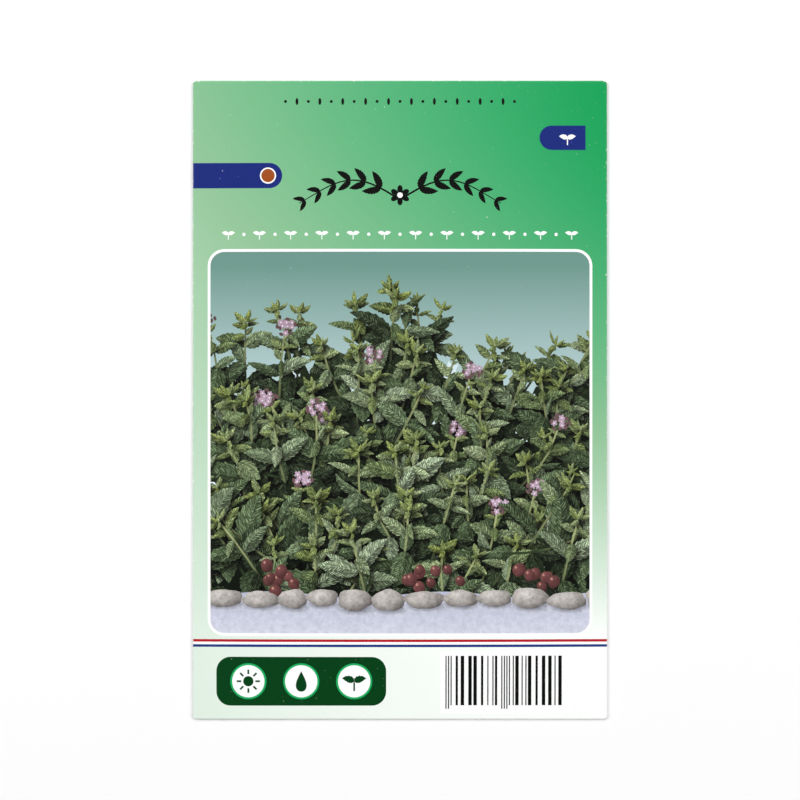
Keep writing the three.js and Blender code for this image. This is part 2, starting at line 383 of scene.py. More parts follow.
def half_width(s):
    """Half width of a leaf at the share s of its length: s^0.6 (1 - s)^0.9, brought to a largest value
    of 1."""
    return 2.75 * s ** 0.6 * (1 - s) ** 0.9


def arc_place(leaf, s, y):
    """The point a share s along a leaf's midrib and y to its left. The midrib is an arc that
    starts at (x, y) in direction angle and turns by bend over the leaf's length."""
    start = leaf["angle"][:, None] + 0 * s
    turned = start + leaf["bend"][:, None] * s
    radius = (leaf["length"] / leaf["bend"])[:, None]
    x = leaf["x"][:, None] + radius * (np.sin(turned) - np.sin(start)) - y * np.sin(turned)
    y = leaf["y"][:, None] - radius * (np.cos(turned) - np.cos(start)) + y * np.cos(turned)
    return np.stack([x, y], -1)


def arc_inverse(leaf, points):
    """Length along the midrib and distance to its left, the reverse of arc_place."""
    radius = leaf["length"] / leaf["bend"]
    middle_x = leaf["x"] - radius * np.sin(leaf["angle"])
    middle_y = leaf["y"] + radius * np.cos(leaf["angle"])
    dx, dy = points[..., 0] - middle_x, points[..., 1] - middle_y
    far = np.hypot(dx, dy)
    turned = np.arctan2(dx * np.sign(radius), -dy * np.sign(radius))
    swing = (turned - leaf["angle"] + np.pi) % (2 * np.pi) - np.pi
    return swing * radius, np.sign(radius) * (np.abs(radius) - far)


def leaf_outlines(leaf, teeth):
    """Toothed outlines of many leaves at once. Every second rim point is a notch, and the tips
    between lean towards the leaf's point."""
    count = 2 * teeth
    j = np.arange(1, count)
    s = (j + TOOTH_LEAN * (j % 2)) / count
    rim = half_width(s) * np.where(j % 2, 1.0, NOTCH)
    left = arc_place(leaf, s[None, :], rim[None, :] * leaf["left"][:, None])
    right = arc_place(leaf, s[None, :], -rim[None, :] * leaf["right"][:, None])
    ends = arc_place(leaf, np.array([[0.0, 1.0]]), np.zeros((1, 2)))
    return np.concatenate([ends[:, :1], right, ends[:, 1:], left[:, ::-1]], axis=1)


# The print: shapes laid over each other on the flat sheet

EDGE_SPACING = 2.5
MERGE_DISTANCE = 1e-5
PAINT = np.dtype([
    ("near", float, 3), ("far", float, 3), ("start", float, 2), ("pace", float, 2),
    ("is_round", bool), ("mottle", float),
])


class Print:
    """Shapes of one printed sheet in painting order, each with a colour that fades from near to far.
    Shape 0 is the sheet's own outline."""

    def __init__(self, outline):
        self.outlines = [with_close_points(outline, EDGE_SPACING)]
        self.paint = [((0, 0, 0), (0, 0, 0), (0, 0), (0, 0), False, 0.0)]
        self.cut_to = [0]
        self.leaves = {}
        self.extra_points = [np.zeros((0, 2))]

    def add(self, outline, colour, fade=None, start=(0, 0), way=(0, 1), cut_to=0, mottle=0.0):
        """Lays one shape on top. Its colour goes to fade over the vector way from start. Outside the
        shape numbered cut_to it isn't printed. Gives the shape's number."""
        way = np.asarray(way, float)
        far = colour if fade is None else fade
        return self.lay(outline, colour, far, start, way / (way @ way), False, cut_to, mottle)

    def add_round(self, outline, light, dark, middle, reach, cut_to=0, mottle=0.0):
        """Lays one shape on top that is light in the middle and dark at reach, a distance along x and y.
        Points inside it carry the fade: the middle and a ring half way out."""
        ring = ellipse(*middle, reach[0] * 0.5, reach[1] * 0.5, 8)
        self.extra_points += [np.array([middle], float), ring]
        return self.lay(outline, light, dark, middle, (1 / reach[0], 1 / reach[1]), True, cut_to, mottle)

    def lay(self, outline, near, far, start, pace, is_round, cut_to, mottle):
        """Notes a shape, its outline run anticlockwise, and its paint. Gives the shape's number."""
        outline = np.asarray(outline, float)
        x, y = outline.T
        if x @ np.roll(y, -1) < y @ np.roll(x, -1):
            outline = outline[::-1]
        self.outlines.append(with_close_points(outline, EDGE_SPACING))
        self.paint.append((tuple(near), tuple(far), tuple(start), tuple(pace), is_round, mottle))
        self.cut_to.append(cut_to)
        return len(self.outlines) - 1

    def partition(self, lattice, rows):
        """Cuts the sheet into triangles, each with the number of the topmost shape on it. All outlines
        are laid out first. Then only the lines between two different top shapes are kept, and new
        triangles are drawn between them, the rows, which are pairs of points, and the lattice."""
        starts = np.cumsum([0] + [len(o) for o in self.outlines])
        faces = [list(range(a, b)) for a, b in zip(starts[:-1], starts[1:])]
        places, triangles, owners = triangulated(np.vstack(self.outlines), [], faces)
        top = self.topmost(owners)
        triangles, top = triangles[top >= 0], top[top >= 0]

        sides = sides_of(triangles)
        order = np.argsort(side_keys(sides)[0])
        sides, here = sides[order], np.tile(top, 3)[order]
        keys, turned = side_keys(sides)
        at = np.minimum(np.searchsorted(keys, turned), len(keys) - 1)
        beyond = np.where(keys[at] == turned, here[at], -1)
        used, parting = np.unique(sides[here > beyond], return_inverse=True)
        edges = np.vstack([parting.reshape(-1, 2), row_pairs(rows, len(used))]).tolist()
        drawn, fresh, _ = triangulated(np.vstack([places[used], rows.reshape(-1, 2), lattice]), edges, [])
        old = BVHTree.FromPolygons([(x, y, 0.0) for x, y in places], triangles.tolist())
        under = [old.find_nearest((x, y, 0.0))[2] for x, y in drawn[fresh].mean(1)]
        return drawn, fresh, top[under]

    def topmost(self, owners):
        """The highest shape on each triangle that is printed there, which takes the shape that it is cut
        to, and the one that this is cut to, on the same triangle."""
        shapes = np.fromiter(chain.from_iterable(owners), int)
        row = np.repeat(np.arange(len(owners)), [len(o) for o in owners]) * len(self.outlines)
        parent = np.array(self.cut_to)
        printed = np.ones(len(shapes), bool)
        for needed in (parent[shapes], parent[parent[shapes]]):
            printed &= np.isin(row + needed, row + shapes)
        top = np.full(len(owners), -1)
        np.maximum.at(top, row[printed] // len(self.outlines), shapes[printed])
        return top

    def painted(self, top):
        """The paint of each triangle's top shape."""
        return np.array(self.paint, dtype=PAINT)[top][:, None]

    def colours(self, places, top, ground):
        """Linear colour of each corner: the ground's where shape 0 is on top, otherwise the shape's fade."""
        paint = self.painted(top)
        offset = (places - paint["start"]) * paint["pace"]
        straight = offset.sum(-1, keepdims=True)
        outward = np.hypot(offset[..., :1], offset[..., 1:]) ** 1.5
        share = np.clip(np.where(paint["is_round"][..., None], outward, straight), 0, 1)
        faded = mixed(paint["near"], paint["far"], share)
        return np.where(top[:, None, None] > 0, faded, ground(places[..., 0], places[..., 1]))


def triangulated(points, edges, faces):
    """Places, triangles that run anticlockwise, and the faces on each triangle, of a plane cut along
    edges and round faces."""
    points = [Vector(p) for p in points.tolist()]
    places, _, triangles, _, _, owners = delaunay_2d_cdt(points, edges, faces, 1, MERGE_DISTANCE, True)
    places, triangles = np.array([tuple(p) for p in places]), np.array(triangles)
    a, b, c = (places[triangles[:, k]] for k in range(3))
    area = (b[:, 0] - a[:, 0]) * (c[:, 1] - a[:, 1]) - (b[:, 1] - a[:, 1]) * (c[:, 0] - a[:, 0])
    triangles[area < 0] = triangles[area < 0][:, ::-1]
    return places, triangles, owners


def sides_of(triangles):
    """The three sides of every triangle, as pairs of point numbers."""
    return np.concatenate([triangles[:, [0, 1]], triangles[:, [1, 2]], triangles[:, [2, 0]]])


def side_keys(sides):
    """A number for each side and one for the same side run backwards."""
    count = sides.max() + 1
    return sides[:, 0] * count + sides[:, 1], sides[:, 1] * count + sides[:, 0]


def row_pairs(rows, start):
    """The point numbers of each row's two ends, counted on from start."""
    return np.arange(2 * len(rows)).reshape(-1, 2) + start


def mixed(first, second, share):
    """A colour between two others."""
    return np.asarray(first) + (np.asarray(second) - np.asarray(first)) * share


# The picture of a herb bed

PICTURE = SimpleNamespace(left=-48.0, right=48.0, low=-59.0, high=37.5, radius=3.5, keyline=0.7)
PICTURE_LIGHT = np.array([-0.5, 0.86])
BED = SimpleNamespace(foot=-46.0, layers=8, spacing=9.4, stem=30.0, first_pair=1.0, last_pair=3)
STEM_STEP = 2.0
STEM_STEPS = np.arange(0, BED.stem + 0.1, STEM_STEP)
LONG_LEAF = 4.6
LEAST_SEEN = 0.35
# The four outer leaves of a tip: turn from the stem, length and width
TIP_LEAVES = ((1.15, 4.0, 0.55), (-1.15, 4.0, 0.55), (0.5, 3.2, 0.5), (-0.5, 3.2, 0.5))
# Where a leaf's shade is felt: rings of points by radius, number of points and weight, moved to the light
SHADE_RINGS = ((0.5, 6, 1.0), (1.1, 7, 0.8), (1.9, 7, 0.5))
SHADE_SHIFT = (-0.35, 0.6)
RASTER_STEP = 0.2
FLORETS = 14
GOLDEN_TURN = 2.4


def bed_top(x):
    """Upper edge of the herb bed: uneven mounds, a long wave and a short one."""
    return 22 + 6.5 * np.cos(x / 11.5 + 0.5) + 2.5 * np.cos(x / 5.1 - 1)


def leaf_row(rng, x, y, angle, length, droop, width, youth, depth, back=0.0):
    """A row for one leaf. Both halves of it are narrowed at random, in half of the leaves by more. The
    tone follows the layer, broad patches of light and the leaf's turn to the light, and falls down
    the stem."""
    lean = rng.normal(0, 0.12)
    bend = np.copysign(max(abs(droop), LEAST_BEND), droop if droop else 1)
    twist = rng.uniform(0.3, 1.0, 2) if rng.random() < 0.5 else rng.uniform(0.7, 1.0, 2)
    across = np.array([-np.sin(angle), np.cos(angle)]) @ PICTURE_LIGHT
    glow = slow_waves(np.array(x), np.array(y), 21, 6, 40, 14)
    shade = 0.8 * smooth((back - 7) / 14)
    tone = 0.56 + 0.12 * depth + 0.18 * glow + rng.normal(0, 0.2) + 0.08 * across - shade
    half = width * length / 2
    return (x, y, angle + lean, bend, length, half * twist[0], half * twist[1], tone, youth)


def grow_stalk(rng, x, depth):
    """A gentle arc that ends on a tip over x, lower in the front layers: its points, its headings and
    the size of its leaves."""
    high = bed_top(x)
    tip_y = high + (BED.foot + 13 - high) * depth + rng.uniform(-7, 6)
    lean = np.pi / 2 - 0.009 * x + np.clip(rng.normal(0, 0.22), -0.4, 0.4)
    curve = rng.normal(0, 0.014)
    heading = lean + curve * (STEM_STEPS - BED.stem)
    path = np.cumsum(np.stack([np.cos(heading), np.sin(heading)], -1) * STEM_STEP, axis=0)
    path += np.array([x, tip_y]) - path[-1]
    return path, heading, rng.uniform(0.85, 1.3)


def grow_pairs(rng, leaves, stalk, depth):
    """Pairs of leaves down a stalk, longer and darker towards its foot. Every second pair faces the
    viewer: its front leaf comes back, to be added over the stalk."""
    path, heading, size = stalk
    facing = []
    reach = BED.stem - BED.first_pair
    pair = int(rng.integers(2))
    while reach > BED.last_pair:
        back = BED.stem - reach
        at = [np.interp(reach, STEM_STEPS, path[:, k]) for k in (0, 1)]
        angle = np.interp(reach, STEM_STEPS, heading)
        length = size * (3.0 + 8.2 * smooth(back / 13))
        youth = max(0.0, 1 - back / 9) * rng.uniform(0.5, 1.0)
        if pair % 2:
            for way in (1, -1):
                open_up = rng.uniform(0.75, 1.35)
                leaves.append(leaf_row(rng, *at, angle + way * open_up, length, way * rng.uniform(0.25, 0.8),
                                       rng.uniform(0.46, 0.66), youth, depth, back))
        else:
            facing.append((*at, -np.pi / 2 + rng.normal(0, 0.5), length * rng.uniform(0.7, 0.92),
                           rng.normal(0, 0.3), rng.uniform(0.66, 0.84), youth * 0.8, depth, back))
            leaves.append(leaf_row(rng, *at, angle + rng.normal(0, 0.5), length * 0.6, rng.normal(0, 0.3),
                                   0.6, youth, depth, back))
        reach -= 2.3 + 4.0 * smooth(back / 14)
        pair += 1
    return facing


def grow_sprigs(rng):
    """Leaves, stems and flower heads of the herb bed, from the back layer to the front one. A tip has
    six young leaves or a head of flowers. Stems and heads hold how many leaves lie under them."""
    leaves, stems, heads = [], [], []
    for layer in range(BED.layers):
        depth = layer / (BED.layers - 1)
        xs = np.arange(PICTURE.left - 4, PICTURE.right + 5, BED.spacing)
        for x in rng.permutation(xs + rng.uniform(-4, 4, len(xs))):
            stalk = grow_stalk(rng, x, depth)
            facing = grow_pairs(rng, leaves, stalk, depth)
            path, heading, size = stalk
            stems.append((path, len(leaves), depth))
            for each in facing[::-1]:
                leaves.append(leaf_row(rng, *each))
            if rng.random() < 0.2:
                heads.append((path[-1], heading[-1], len(leaves), depth))
                continue
            inner = ((rng.uniform(2.4, 3.9), 2.4, 0.8), (rng.normal(0, 0.4), 1.8, 0.6))
            for turn, length, width in (*TIP_LEAVES, *inner):
                angle = heading[-1] + turn + rng.normal(0, 0.2)
                length = size * length * rng.uniform(0.65, 1.1)
                leaves.append(leaf_row(rng, *path[-1], angle, length, -turn * 0.4, width,
                                       rng.uniform(0.45, 1.0), depth))
    return np.array(leaves, dtype=LEAF), stems, heads


def order_map(leaf, numbers):
    """A fine raster of the picture that holds the number of the topmost leaf at each place. A place is
    in a leaf where its distance from the midrib is under the half width there."""
    xs = np.arange(PICTURE.left, PICTURE.right, RASTER_STEP)
    ys = np.arange(PICTURE.low, PICTURE.high, RASTER_STEP)
    raster = np.full((len(ys), len(xs)), -1)
    for row, number in zip(leaf, numbers):
        reach = row["length"] * 1.1
        i0, i1 = np.searchsorted(ys, (row["y"] - reach, row["y"] + reach))
        j0, j1 = np.searchsorted(xs, (row["x"] - reach, row["x"] + reach))
        if i0 == i1 or j0 == j1:
            continue
        grid = np.stack(np.meshgrid(xs[j0:j1], ys[i0:i1]), -1)
        along, across = arc_inverse(row, grid)
        share = np.clip(along / row["length"], 0, 1)
        limit = half_width(share) * np.where(across > 0, row["left"], row["right"])
        inside = (along > 0) & (along < row["length"]) & (np.abs(across) < limit)
        raster[i0:i1, j0:j1][inside] = number
    return raster


def shadows(raster, places, numbers):
    """How much each place lies in the shade of leaves painted over it: the share of the points on the
    shade rings whose topmost leaf has a higher number."""
    total, weight = np.zeros(numbers.shape), 0.0
    for radius, count, part in SHADE_RINGS:
        for turn in np.arange(count) * 2 * np.pi / count + radius:
            x = places[..., 0] + radius * np.cos(turn) + SHADE_SHIFT[0]
            y = places[..., 1] + radius * np.sin(turn) + SHADE_SHIFT[1]
            j = np.clip(((x - PICTURE.left) / RASTER_STEP).astype(int), 0, raster.shape[1] - 1)
            i = np.clip(((y - PICTURE.low) / RASTER_STEP).astype(int), 0, raster.shape[0] - 1)
            total += part * (raster[i, j] > numbers)
            weight += part
    return total / weight


def leaf_colours(ink, leaf):
    """The two ends of a leaf's fade: dark, mid and light green by its tone, turned towards the young
    leaves' yellow green, and lighter at the point than at the foot."""
    tone = np.clip(leaf["tone"], 0, 1)[:, None]
    low = np.where(tone < 0.5, mixed(ink.leaf_dark, ink.leaf_mid, tone * 2),
                   mixed(ink.leaf_mid, ink.leaf_light, tone * 2 - 1))
    low = mixed(low, ink.leaf_young, 0.75 * leaf["youth"][:, None])
    low = low * np.clip(1 + 1.6 * leaf["tone"], 0.15, 1)[:, None]
    return low * 0.82, mixed(low * 1.12, ink.leaf_light, 0.08)


def print_picture(sheet, ink, rng):
    """The picture in the middle of the front: path, backdrop, herb bed, berries and stones."""
    p, k = PICTURE, PICTURE.keyline
    sheet.add(rounded_box(p.left - k, p.low - k, p.right + k, p.high + k, p.radius + k), ink.white)
    inside = rounded_box(p.left, p.low, p.right, p.high, p.radius)
    window = sheet.add(inside, ink.path_near, ink.path_far, (0, p.low), (0, 15), mottle=0.3)
    wide = np.linspace(p.left - 1, p.right + 1, 61)
    foot = BED.foot - 3.2 + 0.8 * np.sin(wide / 7)
    above = np.vstack([np.stack([wide, foot], -1), [(p.right + 1, p.high + 1), (p.left - 1, p.high + 1)]])
    bed = sheet.add(above, ink.sky_low, ink.sky_high, (0, -12), (0, 46), window)
    crown = bed_top(wide) - 15.0 + 1.6 * np.sin(wide * 0.9) + 1.2 * np.sin(wide * 1.7)
    hedge = np.vstack([np.stack([wide, crown], -1), [(p.right + 1, p.low), (p.left - 1, p.low)]])
    sheet.add(hedge, ink.hedge, mixed(ink.hedge, ink.leaf_dark, 0.35), (0, BED.foot), (0, 60), bed)
    print_gaps(sheet, ink, rng, bed)
    print_sprigs(sheet, ink, rng, bed)
    print_berries(sheet, ink, rng, window)
    print_stones(sheet, ink, rng, window)


def print_gaps(sheet, ink, rng, bed):
    """Small pale gaps in the hedge, where the backdrop shows between the leaves that come over it."""
    t = full_turn(11)
    for _ in range(60):
        x = rng.uniform(PICTURE.left, PICTURE.right)
        y = rng.uniform(BED.foot + 18, bed_top(x) - 12)
        size = rng.uniform(0.8, 2.6)
        r = size * rng.uniform(0.4, 1.1, len(t))
        colour = mixed(ink.sky_low, ink.white, rng.uniform(0, 0.3))
        sheet.add(arc(x, y, r, r, t), colour, cut_to=bed)


def print_sprigs(sheet, ink, rng, bed):
    """Stems, leaves and flower heads in the order in which they cover each other. Leaves that others
    hide are left out. Loose points over the bed carry the shade that falls inside a leaf."""
    leaf, stems, heads = grow_sprigs(rng)
    trial = order_map(leaf, np.arange(len(leaf)))
    seen = np.bincount(trial[trial >= 0], minlength=len(leaf)) * RASTER_STEP ** 2
    kept = seen > LEAST_SEEN
    colour_low, colour_high = leaf_colours(ink, leaf)
    toothed, small = leaf_outlines(leaf, 7), leaf_outlines(leaf, 3)
    chords = arc_place(leaf, np.ones((1, 1)), np.zeros((1, 1)))[:, 0]
    numbers = np.zeros(len(leaf), int)

    def print_stem(n):
        route, _, depth = stems[n]
        colour = mixed(ink.leaf_dark, ink.stem, 0.5 + 0.5 * depth)
        way = 0.7 * (route[0] - route[-1])
        sheet.add(stroke(route[::3], 0.7, 0.42), colour, ink.leaf_dark, route[-1], way, bed)

    def print_leaf(n):
        start = (leaf["x"][n], leaf["y"][n])
        outline = (toothed if leaf["length"][n] > LONG_LEAF else small)[n]
        numbers[n] = sheet.add(outline, colour_low[n], colour_high[n], start, chords[n] - start, bed)
        sheet.leaves[numbers[n]] = leaf[n]

    def print_head(n):
        print_blossoms(sheet, ink, rng, heads[n], bed)

    events = [(at, 0, n, print_stem) for n, (_, at, _) in enumerate(stems)]
    events += [(n, 1, n, print_leaf) for n in np.flatnonzero(kept)]
    events += [(at, 2, n, print_head) for n, (_, _, at, _) in enumerate(heads)]
    for _, _, n, draw in sorted(events, key=lambda event: event[:3]):
        draw(n)
    sheet.raster = order_map(leaf[kept], numbers[kept])
    xs, ys = np.arange(PICTURE.left + 0.5, PICTURE.right, 0.9), np.arange(BED.foot - 3, PICTURE.high, 0.9)
    grid = np.stack(np.meshgrid(xs, ys), -1).reshape(-1, 2)
    sheet.extra_points.append(grid + rng.uniform(-0.3, 0.3, grid.shape))


def print_blossoms(sheet, ink, rng, head, window):
    """A loose round head of small five-petalled flowers on a stem's tip, with buds mostly round its
    rim. Places follow a sunflower spiral."""
    (x, y), angle, _, depth = head
    middle = np.array([x, y]) + 2.2 * np.array([np.cos(angle), np.sin(angle)])
    shade = 0.62 + 0.38 * depth
    for k in range(FLORETS):
        turn, far = k * GOLDEN_TURN + rng.uniform(0, 0.6), 2.6 * np.sqrt((k + 0.6) / FLORETS)
        px, py = middle + far * np.array([np.cos(turn), 0.85 * np.sin(turn)])
        if k > 8 or rng.random() < 0.25:
            sheet.add(ellipse(px, py, 0.42, 0.62, 8, turn), mixed(ink.hedge, ink.bud, shade), cut_to=window)
            continue
        size = rng.uniform(0.75, 1.0)
        colour = mixed(ink.bud, ink.blossom, shade)
        flower = petals(px, py, size, turn=turn)
        sheet.add(flower, colour * 0.85, colour * 1.1, (px, py - size), (0, 2 * size), window)
        sheet.add(disc(px, py, 0.2, 6), ink.blossom_heart, cut_to=window)


def print_berries(sheet, ink, rng, window):
    """Loose clusters of nine berries at the foot of the bed, in three places."""
    for middle in (-33.0, 6.5, 36.5):
        for _ in range(9):
            x = middle + rng.normal(0, 3.4)
            y = BED.foot + 1.5 + rng.normal(0, 2.0)
            size = rng.uniform(1.15, 1.6)
            turn = rng.uniform(-0.5, 0.5)
            colour = mixed(ink.berry, ink.hedge, rng.uniform(0, 0.35))
            glow = (x - 0.4 * size, y + 0.5 * size)
            sheet.add_round(ellipse(x, y, size, size * 1.15, 18, turn), colour * 1.35, colour * 0.25, glow,
                            (1.9 * size, 2.0 * size), window, 0.6)
            sheet.add_round(ellipse(*glow, 0.24 * size, 0.3 * size, 8, 0.6), ink.berry_light, colour * 1.5,
                            glow, (0.3 * size, 0.36 * size), window)


def print_stones(sheet, ink, rng, window):
    """A row of rounded edging stones along the picture's foot, each with its shadow and its lit top."""
    t = full_turn(26)
    x = PICTURE.left - 2
    while x < PICTURE.right + 3:
        wide, tall = rng.uniform(3.4, 5.4), rng.uniform(2.1, 2.9)
        x += wide
        y = BED.foot - 4.4 + rng.uniform(-0.5, 0.5)
        colour = mixed(ink.stone, ink.stone_light, rng.uniform(0.05, 0.5))
        shadow = ellipse(x + 0.6, y - tall * 0.8, wide * 1.15, tall * 0.62, 18)
        sheet.add_round(shadow, mixed(ink.path_far, ink.hedge, 0.8), ink.path_near * 0.85,
                        (x + 0.4, y - tall * 0.7), (wide * 1.2, tall * 0.66), window, 0.5)
        r = 1 + 0.05 * np.sin(3 * t + x) + 0.04 * np.sin(5 * t + 2 * x) + 0.02 * np.sin(9 * t)
        sheet.add_round(arc(x, y, wide * r, tall * r, t), mixed(colour, ink.stone_light, 0.7), colour * 0.3,
                        (x - 0.25 * wide, y + 0.45 * tall), (wide * 1.35, tall * 1.6), window, 0.8)
        x += wide * 0.92


# Plain marks of a seed packet

DOTS = SimpleNamespace(count=21, pitch=2.9, level=75.6, radius=0.38, tall=0.9)
SEEDLINGS = SimpleNamespace(count=23, pitch=3.95, level=41.9, size=1.75, dot=0.42)
RULE = SimpleNamespace(foot=-62.5, line=0.65)
PLAQUE = SimpleNamespace(box=(-46.5, -77.4, -3.5, -65.0), corner=3.6, level=-71.2, pitch=13.4, radius=4.6)
SCROLL = SimpleNamespace(start=1.5, reach=24, level=51.6, rise=4.0, arch=np.pi * 1.15)
BARS = SimpleNamespace(x=11.5, y=-77.3, wide=30.5, tall=12.6, modules=95, margin=1.3, guard=0.9, inked=0.92)
LINES = SimpleNamespace(half=20.4, count=5, first=-20.0, pitch=6.5, thick=0.22, shorter=14)


def print_pair(sheet, colour, x, y, size):
    """Two small leaves on a short stalk."""
    rows = np.zeros(2, dtype=LEAF)
    rows["x"], rows["y"], rows["length"], rows["left"], rows["right"] = x, y, size, size * 0.3, size * 0.3
    rows["angle"] = (0.62, np.pi - 0.62)
    rows["bend"] = (-0.7, 0.7)
    for outline in leaf_outlines(rows, 5):
        sheet.add(outline, colour)
    stalk = [(x, y - share * size * 0.75) for share in (0.05, 1.0)]
    sheet.add(stroke(stalk, size * 0.13), colour)


def print_sun(sheet, colour, x, y, size):
    """A disc with eight rays."""
    sheet.add(disc(x, y, size * 0.42, 22), colour)
    for turn in np.arange(8) * np.pi / 4:
        way = np.array([np.cos(turn), np.sin(turn)])
        sheet.add(stroke([(x, y) + way * size * 0.58, (x, y) + way * size * 0.95], size * 0.15), colour)


def print_drop(sheet, colour, x, y, size):
    """A drop of water: a circle drawn out to a point."""
    t = full_turn(26)
    outline = np.stack([x + size * 0.62 * np.sin(t) * np.sin(t / 2) ** 1.4, y + size * 0.85 * np.cos(t)], -1)
    sheet.add(outline[::-1], colour)


def print_round(sheet, ink, x, y, radius, rim, count):
    """A white round with a bright green rim."""
    sheet.add(disc(x, y, radius, count), ink.plaque_bright)
    sheet.add(disc(x, y, radius - rim, count), ink.white)


def print_rule(sheet, ink, left, right):
    """A straight rule of a red, a white and a blue line."""
    for k, colour in ((2, ink.rule_red), (1, ink.white), (0, ink.rule_blue)):
        low = RULE.foot + k * RULE.line
        sheet.add(box(left, low, right, low + RULE.line), colour)


def print_bars(sheet, ink, rng):
    """A block of upright bars of three widths in a white box, with longer thin ones at its start, middle
    and end. The widths between those are drawn at random."""
    b = BARS
    sheet.add(box(b.x - b.margin, b.y - b.margin - b.guard, b.x + b.wide + b.margin, b.y + b.tall + b.margin),
              ink.white)
    module = b.wide / b.modules
    at = 0
    while at < b.modules - 2:
        is_guard = at < 3 or 44 <= at < 49 or at > 90
        bar = 1 if is_guard else int(rng.integers(1, 4))
        low = b.y - (b.guard if is_guard else 0.0)
        sheet.add(box(b.x + at * module, low, b.x + (at + bar * b.inked) * module, b.y + b.tall), ink.ink)
        at += bar + (1 if is_guard else int(rng.integers(1, 4)))


def print_tags(sheet, ink, edge):
    """A short tag with a pair of leaves at the right, and a long one with a dot that runs out over the
    left fold. Each has one round end."""
    right, low, high = 47.0, 63.3, 69.5
    left_half = disc(38.4, 66.4, 3.1, 24)[6:19]
    sheet.add(np.vstack([left_half, [(right, low), (right, high)]]), ink.tag)
    end, low, high = -33.0, 53.6, 60.0
    middle = (low + high) / 2
    sheet.add(box(-edge, low, end, high), ink.tag)
    sheet.add(disc(end, middle, 3.2, 28), ink.tag)
    sheet.add(disc(end - 0.4, middle, 2.05, 26), ink.white)
    fade = mixed(ink.tag_dot, ink.white, 0.02)
    sheet.add(disc(end - 0.4, middle, 1.7, 26), ink.tag_dot, fade, (0, low), (0, 6))
    print_pair(sheet, ink.white, 42.4, 66.2, 2.2)


def print_scroll(sheet, ink):
    """A plain leafy scroll over the picture: two arched stalks with paired leaves, and a flower."""
    share = np.repeat(np.linspace(0.14, 0.94, 6), 2)
    up = np.tile([1, -1], 6)
    angle = 0.55 * np.cos(share * SCROLL.arch) + up * 0.85
    for side in (-1, 1):
        stalk = np.stack(scroll_place(side, np.linspace(0, 1, 17)), -1)
        sheet.add(stroke(stalk, 0.5, 0.2), ink.ink)
        rows = np.zeros(len(share), dtype=LEAF)
        rows["x"], rows["y"] = scroll_place(side, share)
        rows["angle"] = angle if side > 0 else np.pi - angle
        rows["bend"] = -up * side * 0.45
        rows["length"] = 5.2 - 2.2 * share
        rows["left"] = rows["right"] = rows["length"] * 0.2
        for outline in leaf_outlines(rows, 7):
            sheet.add(outline, ink.ink)
    sheet.add(petals(0, 51.8, 2.6, 6, 0.52, 36, 0.5), ink.ink)
    sheet.add(disc(0, 51.8, 0.7, 14), ink.white)


def scroll_place(side, share):
    """x and y of points along one stalk of the scroll, which rises and falls as a sine."""
    x = side * (SCROLL.start + SCROLL.reach * share)
    return x, SCROLL.level + SCROLL.rise * np.sin(share * SCROLL.arch)


def print_marks(sheet, ink, plan, rng):
    """Everything on the front apart from the picture: tags, ornaments, scroll, rule, plaque and bars."""
    edge = plan.side_end + 2
    print_tags(sheet, ink, edge)
    for k, x in enumerate(spread(0, DOTS.count, DOTS.pitch)):
        sheet.add(ellipse(x, DOTS.level, DOTS.radius, DOTS.tall if k % 2 else DOTS.radius, 12), ink.ink)
    print_scroll(sheet, ink)
    for k, x in enumerate(spread(0, SEEDLINGS.count, SEEDLINGS.pitch)):
        if k % 2:
            sheet.add(disc(x, SEEDLINGS.level, SEEDLINGS.dot, 12), ink.white)
        else:
            print_pair(sheet, ink.white, x, SEEDLINGS.level, SEEDLINGS.size)
    print_rule(sheet, ink, -edge, edge)
    sheet.add(rounded_box(*PLAQUE.box, PLAQUE.corner), ink.plaque)
    middle = (PLAQUE.box[0] + PLAQUE.box[2]) / 2
    drawings = ((print_sun, 3.1, 0.0), (print_drop, 3.1, 0.0), (print_pair, 3.2, 0.1))
    for x, (draw, size, lower) in zip(spread(middle, len(drawings), PLAQUE.pitch), drawings):
        print_round(sheet, ink, x, PLAQUE.level, PLAQUE.radius, 0.5, 36)
        draw(sheet, ink.plaque, x, PLAQUE.level - lower, size)
    print_bars(sheet, ink, rng)


def print_back(sheet, ink, plan, side):
    """Plain marks on a back panel: lines to write on and the rule. The outer panel also has a sowing
    calendar and drawings of a growing seed, the inner one a sun, a drop and a row of seedlings."""
    covered = 0 if side < 0 else 2 * plan.lap_half
    middle = side * (plan.side_end + plan.lap_end - covered) / 2
    left, right = middle - LINES.half, middle + LINES.half
    for k in range(LINES.count):
        low = LINES.first - LINES.pitch * k
        end = right - (LINES.shorter if k == LINES.count - 1 else 0)
        sheet.add(box(left, low, end, low + LINES.thick), mixed(ink.back_ground, ink.plaque, 0.45))
    if side < 0:
        print_calendar(sheet, ink, left, right)
        for age, x in enumerate(spread(middle, 3, 13.6)):
            print_growing_seed(sheet, ink, x, age)
    else:
        for x, draw in zip(spread(middle, 2, 18), (print_sun, print_drop)):
            print_round(sheet, ink, x, 36.0, 6.6, 0.6, 40)
            draw(sheet, ink.plaque, x, 36.0, 4.4)
        for x in spread(middle, 9, 4.5):
            print_pair(sheet, ink.plaque_bright, x, -4.0, 2.4)
    print_rule(sheet, ink, *sorted((side * (plan.side_end - 1), side * (plan.lap_end + 1))))


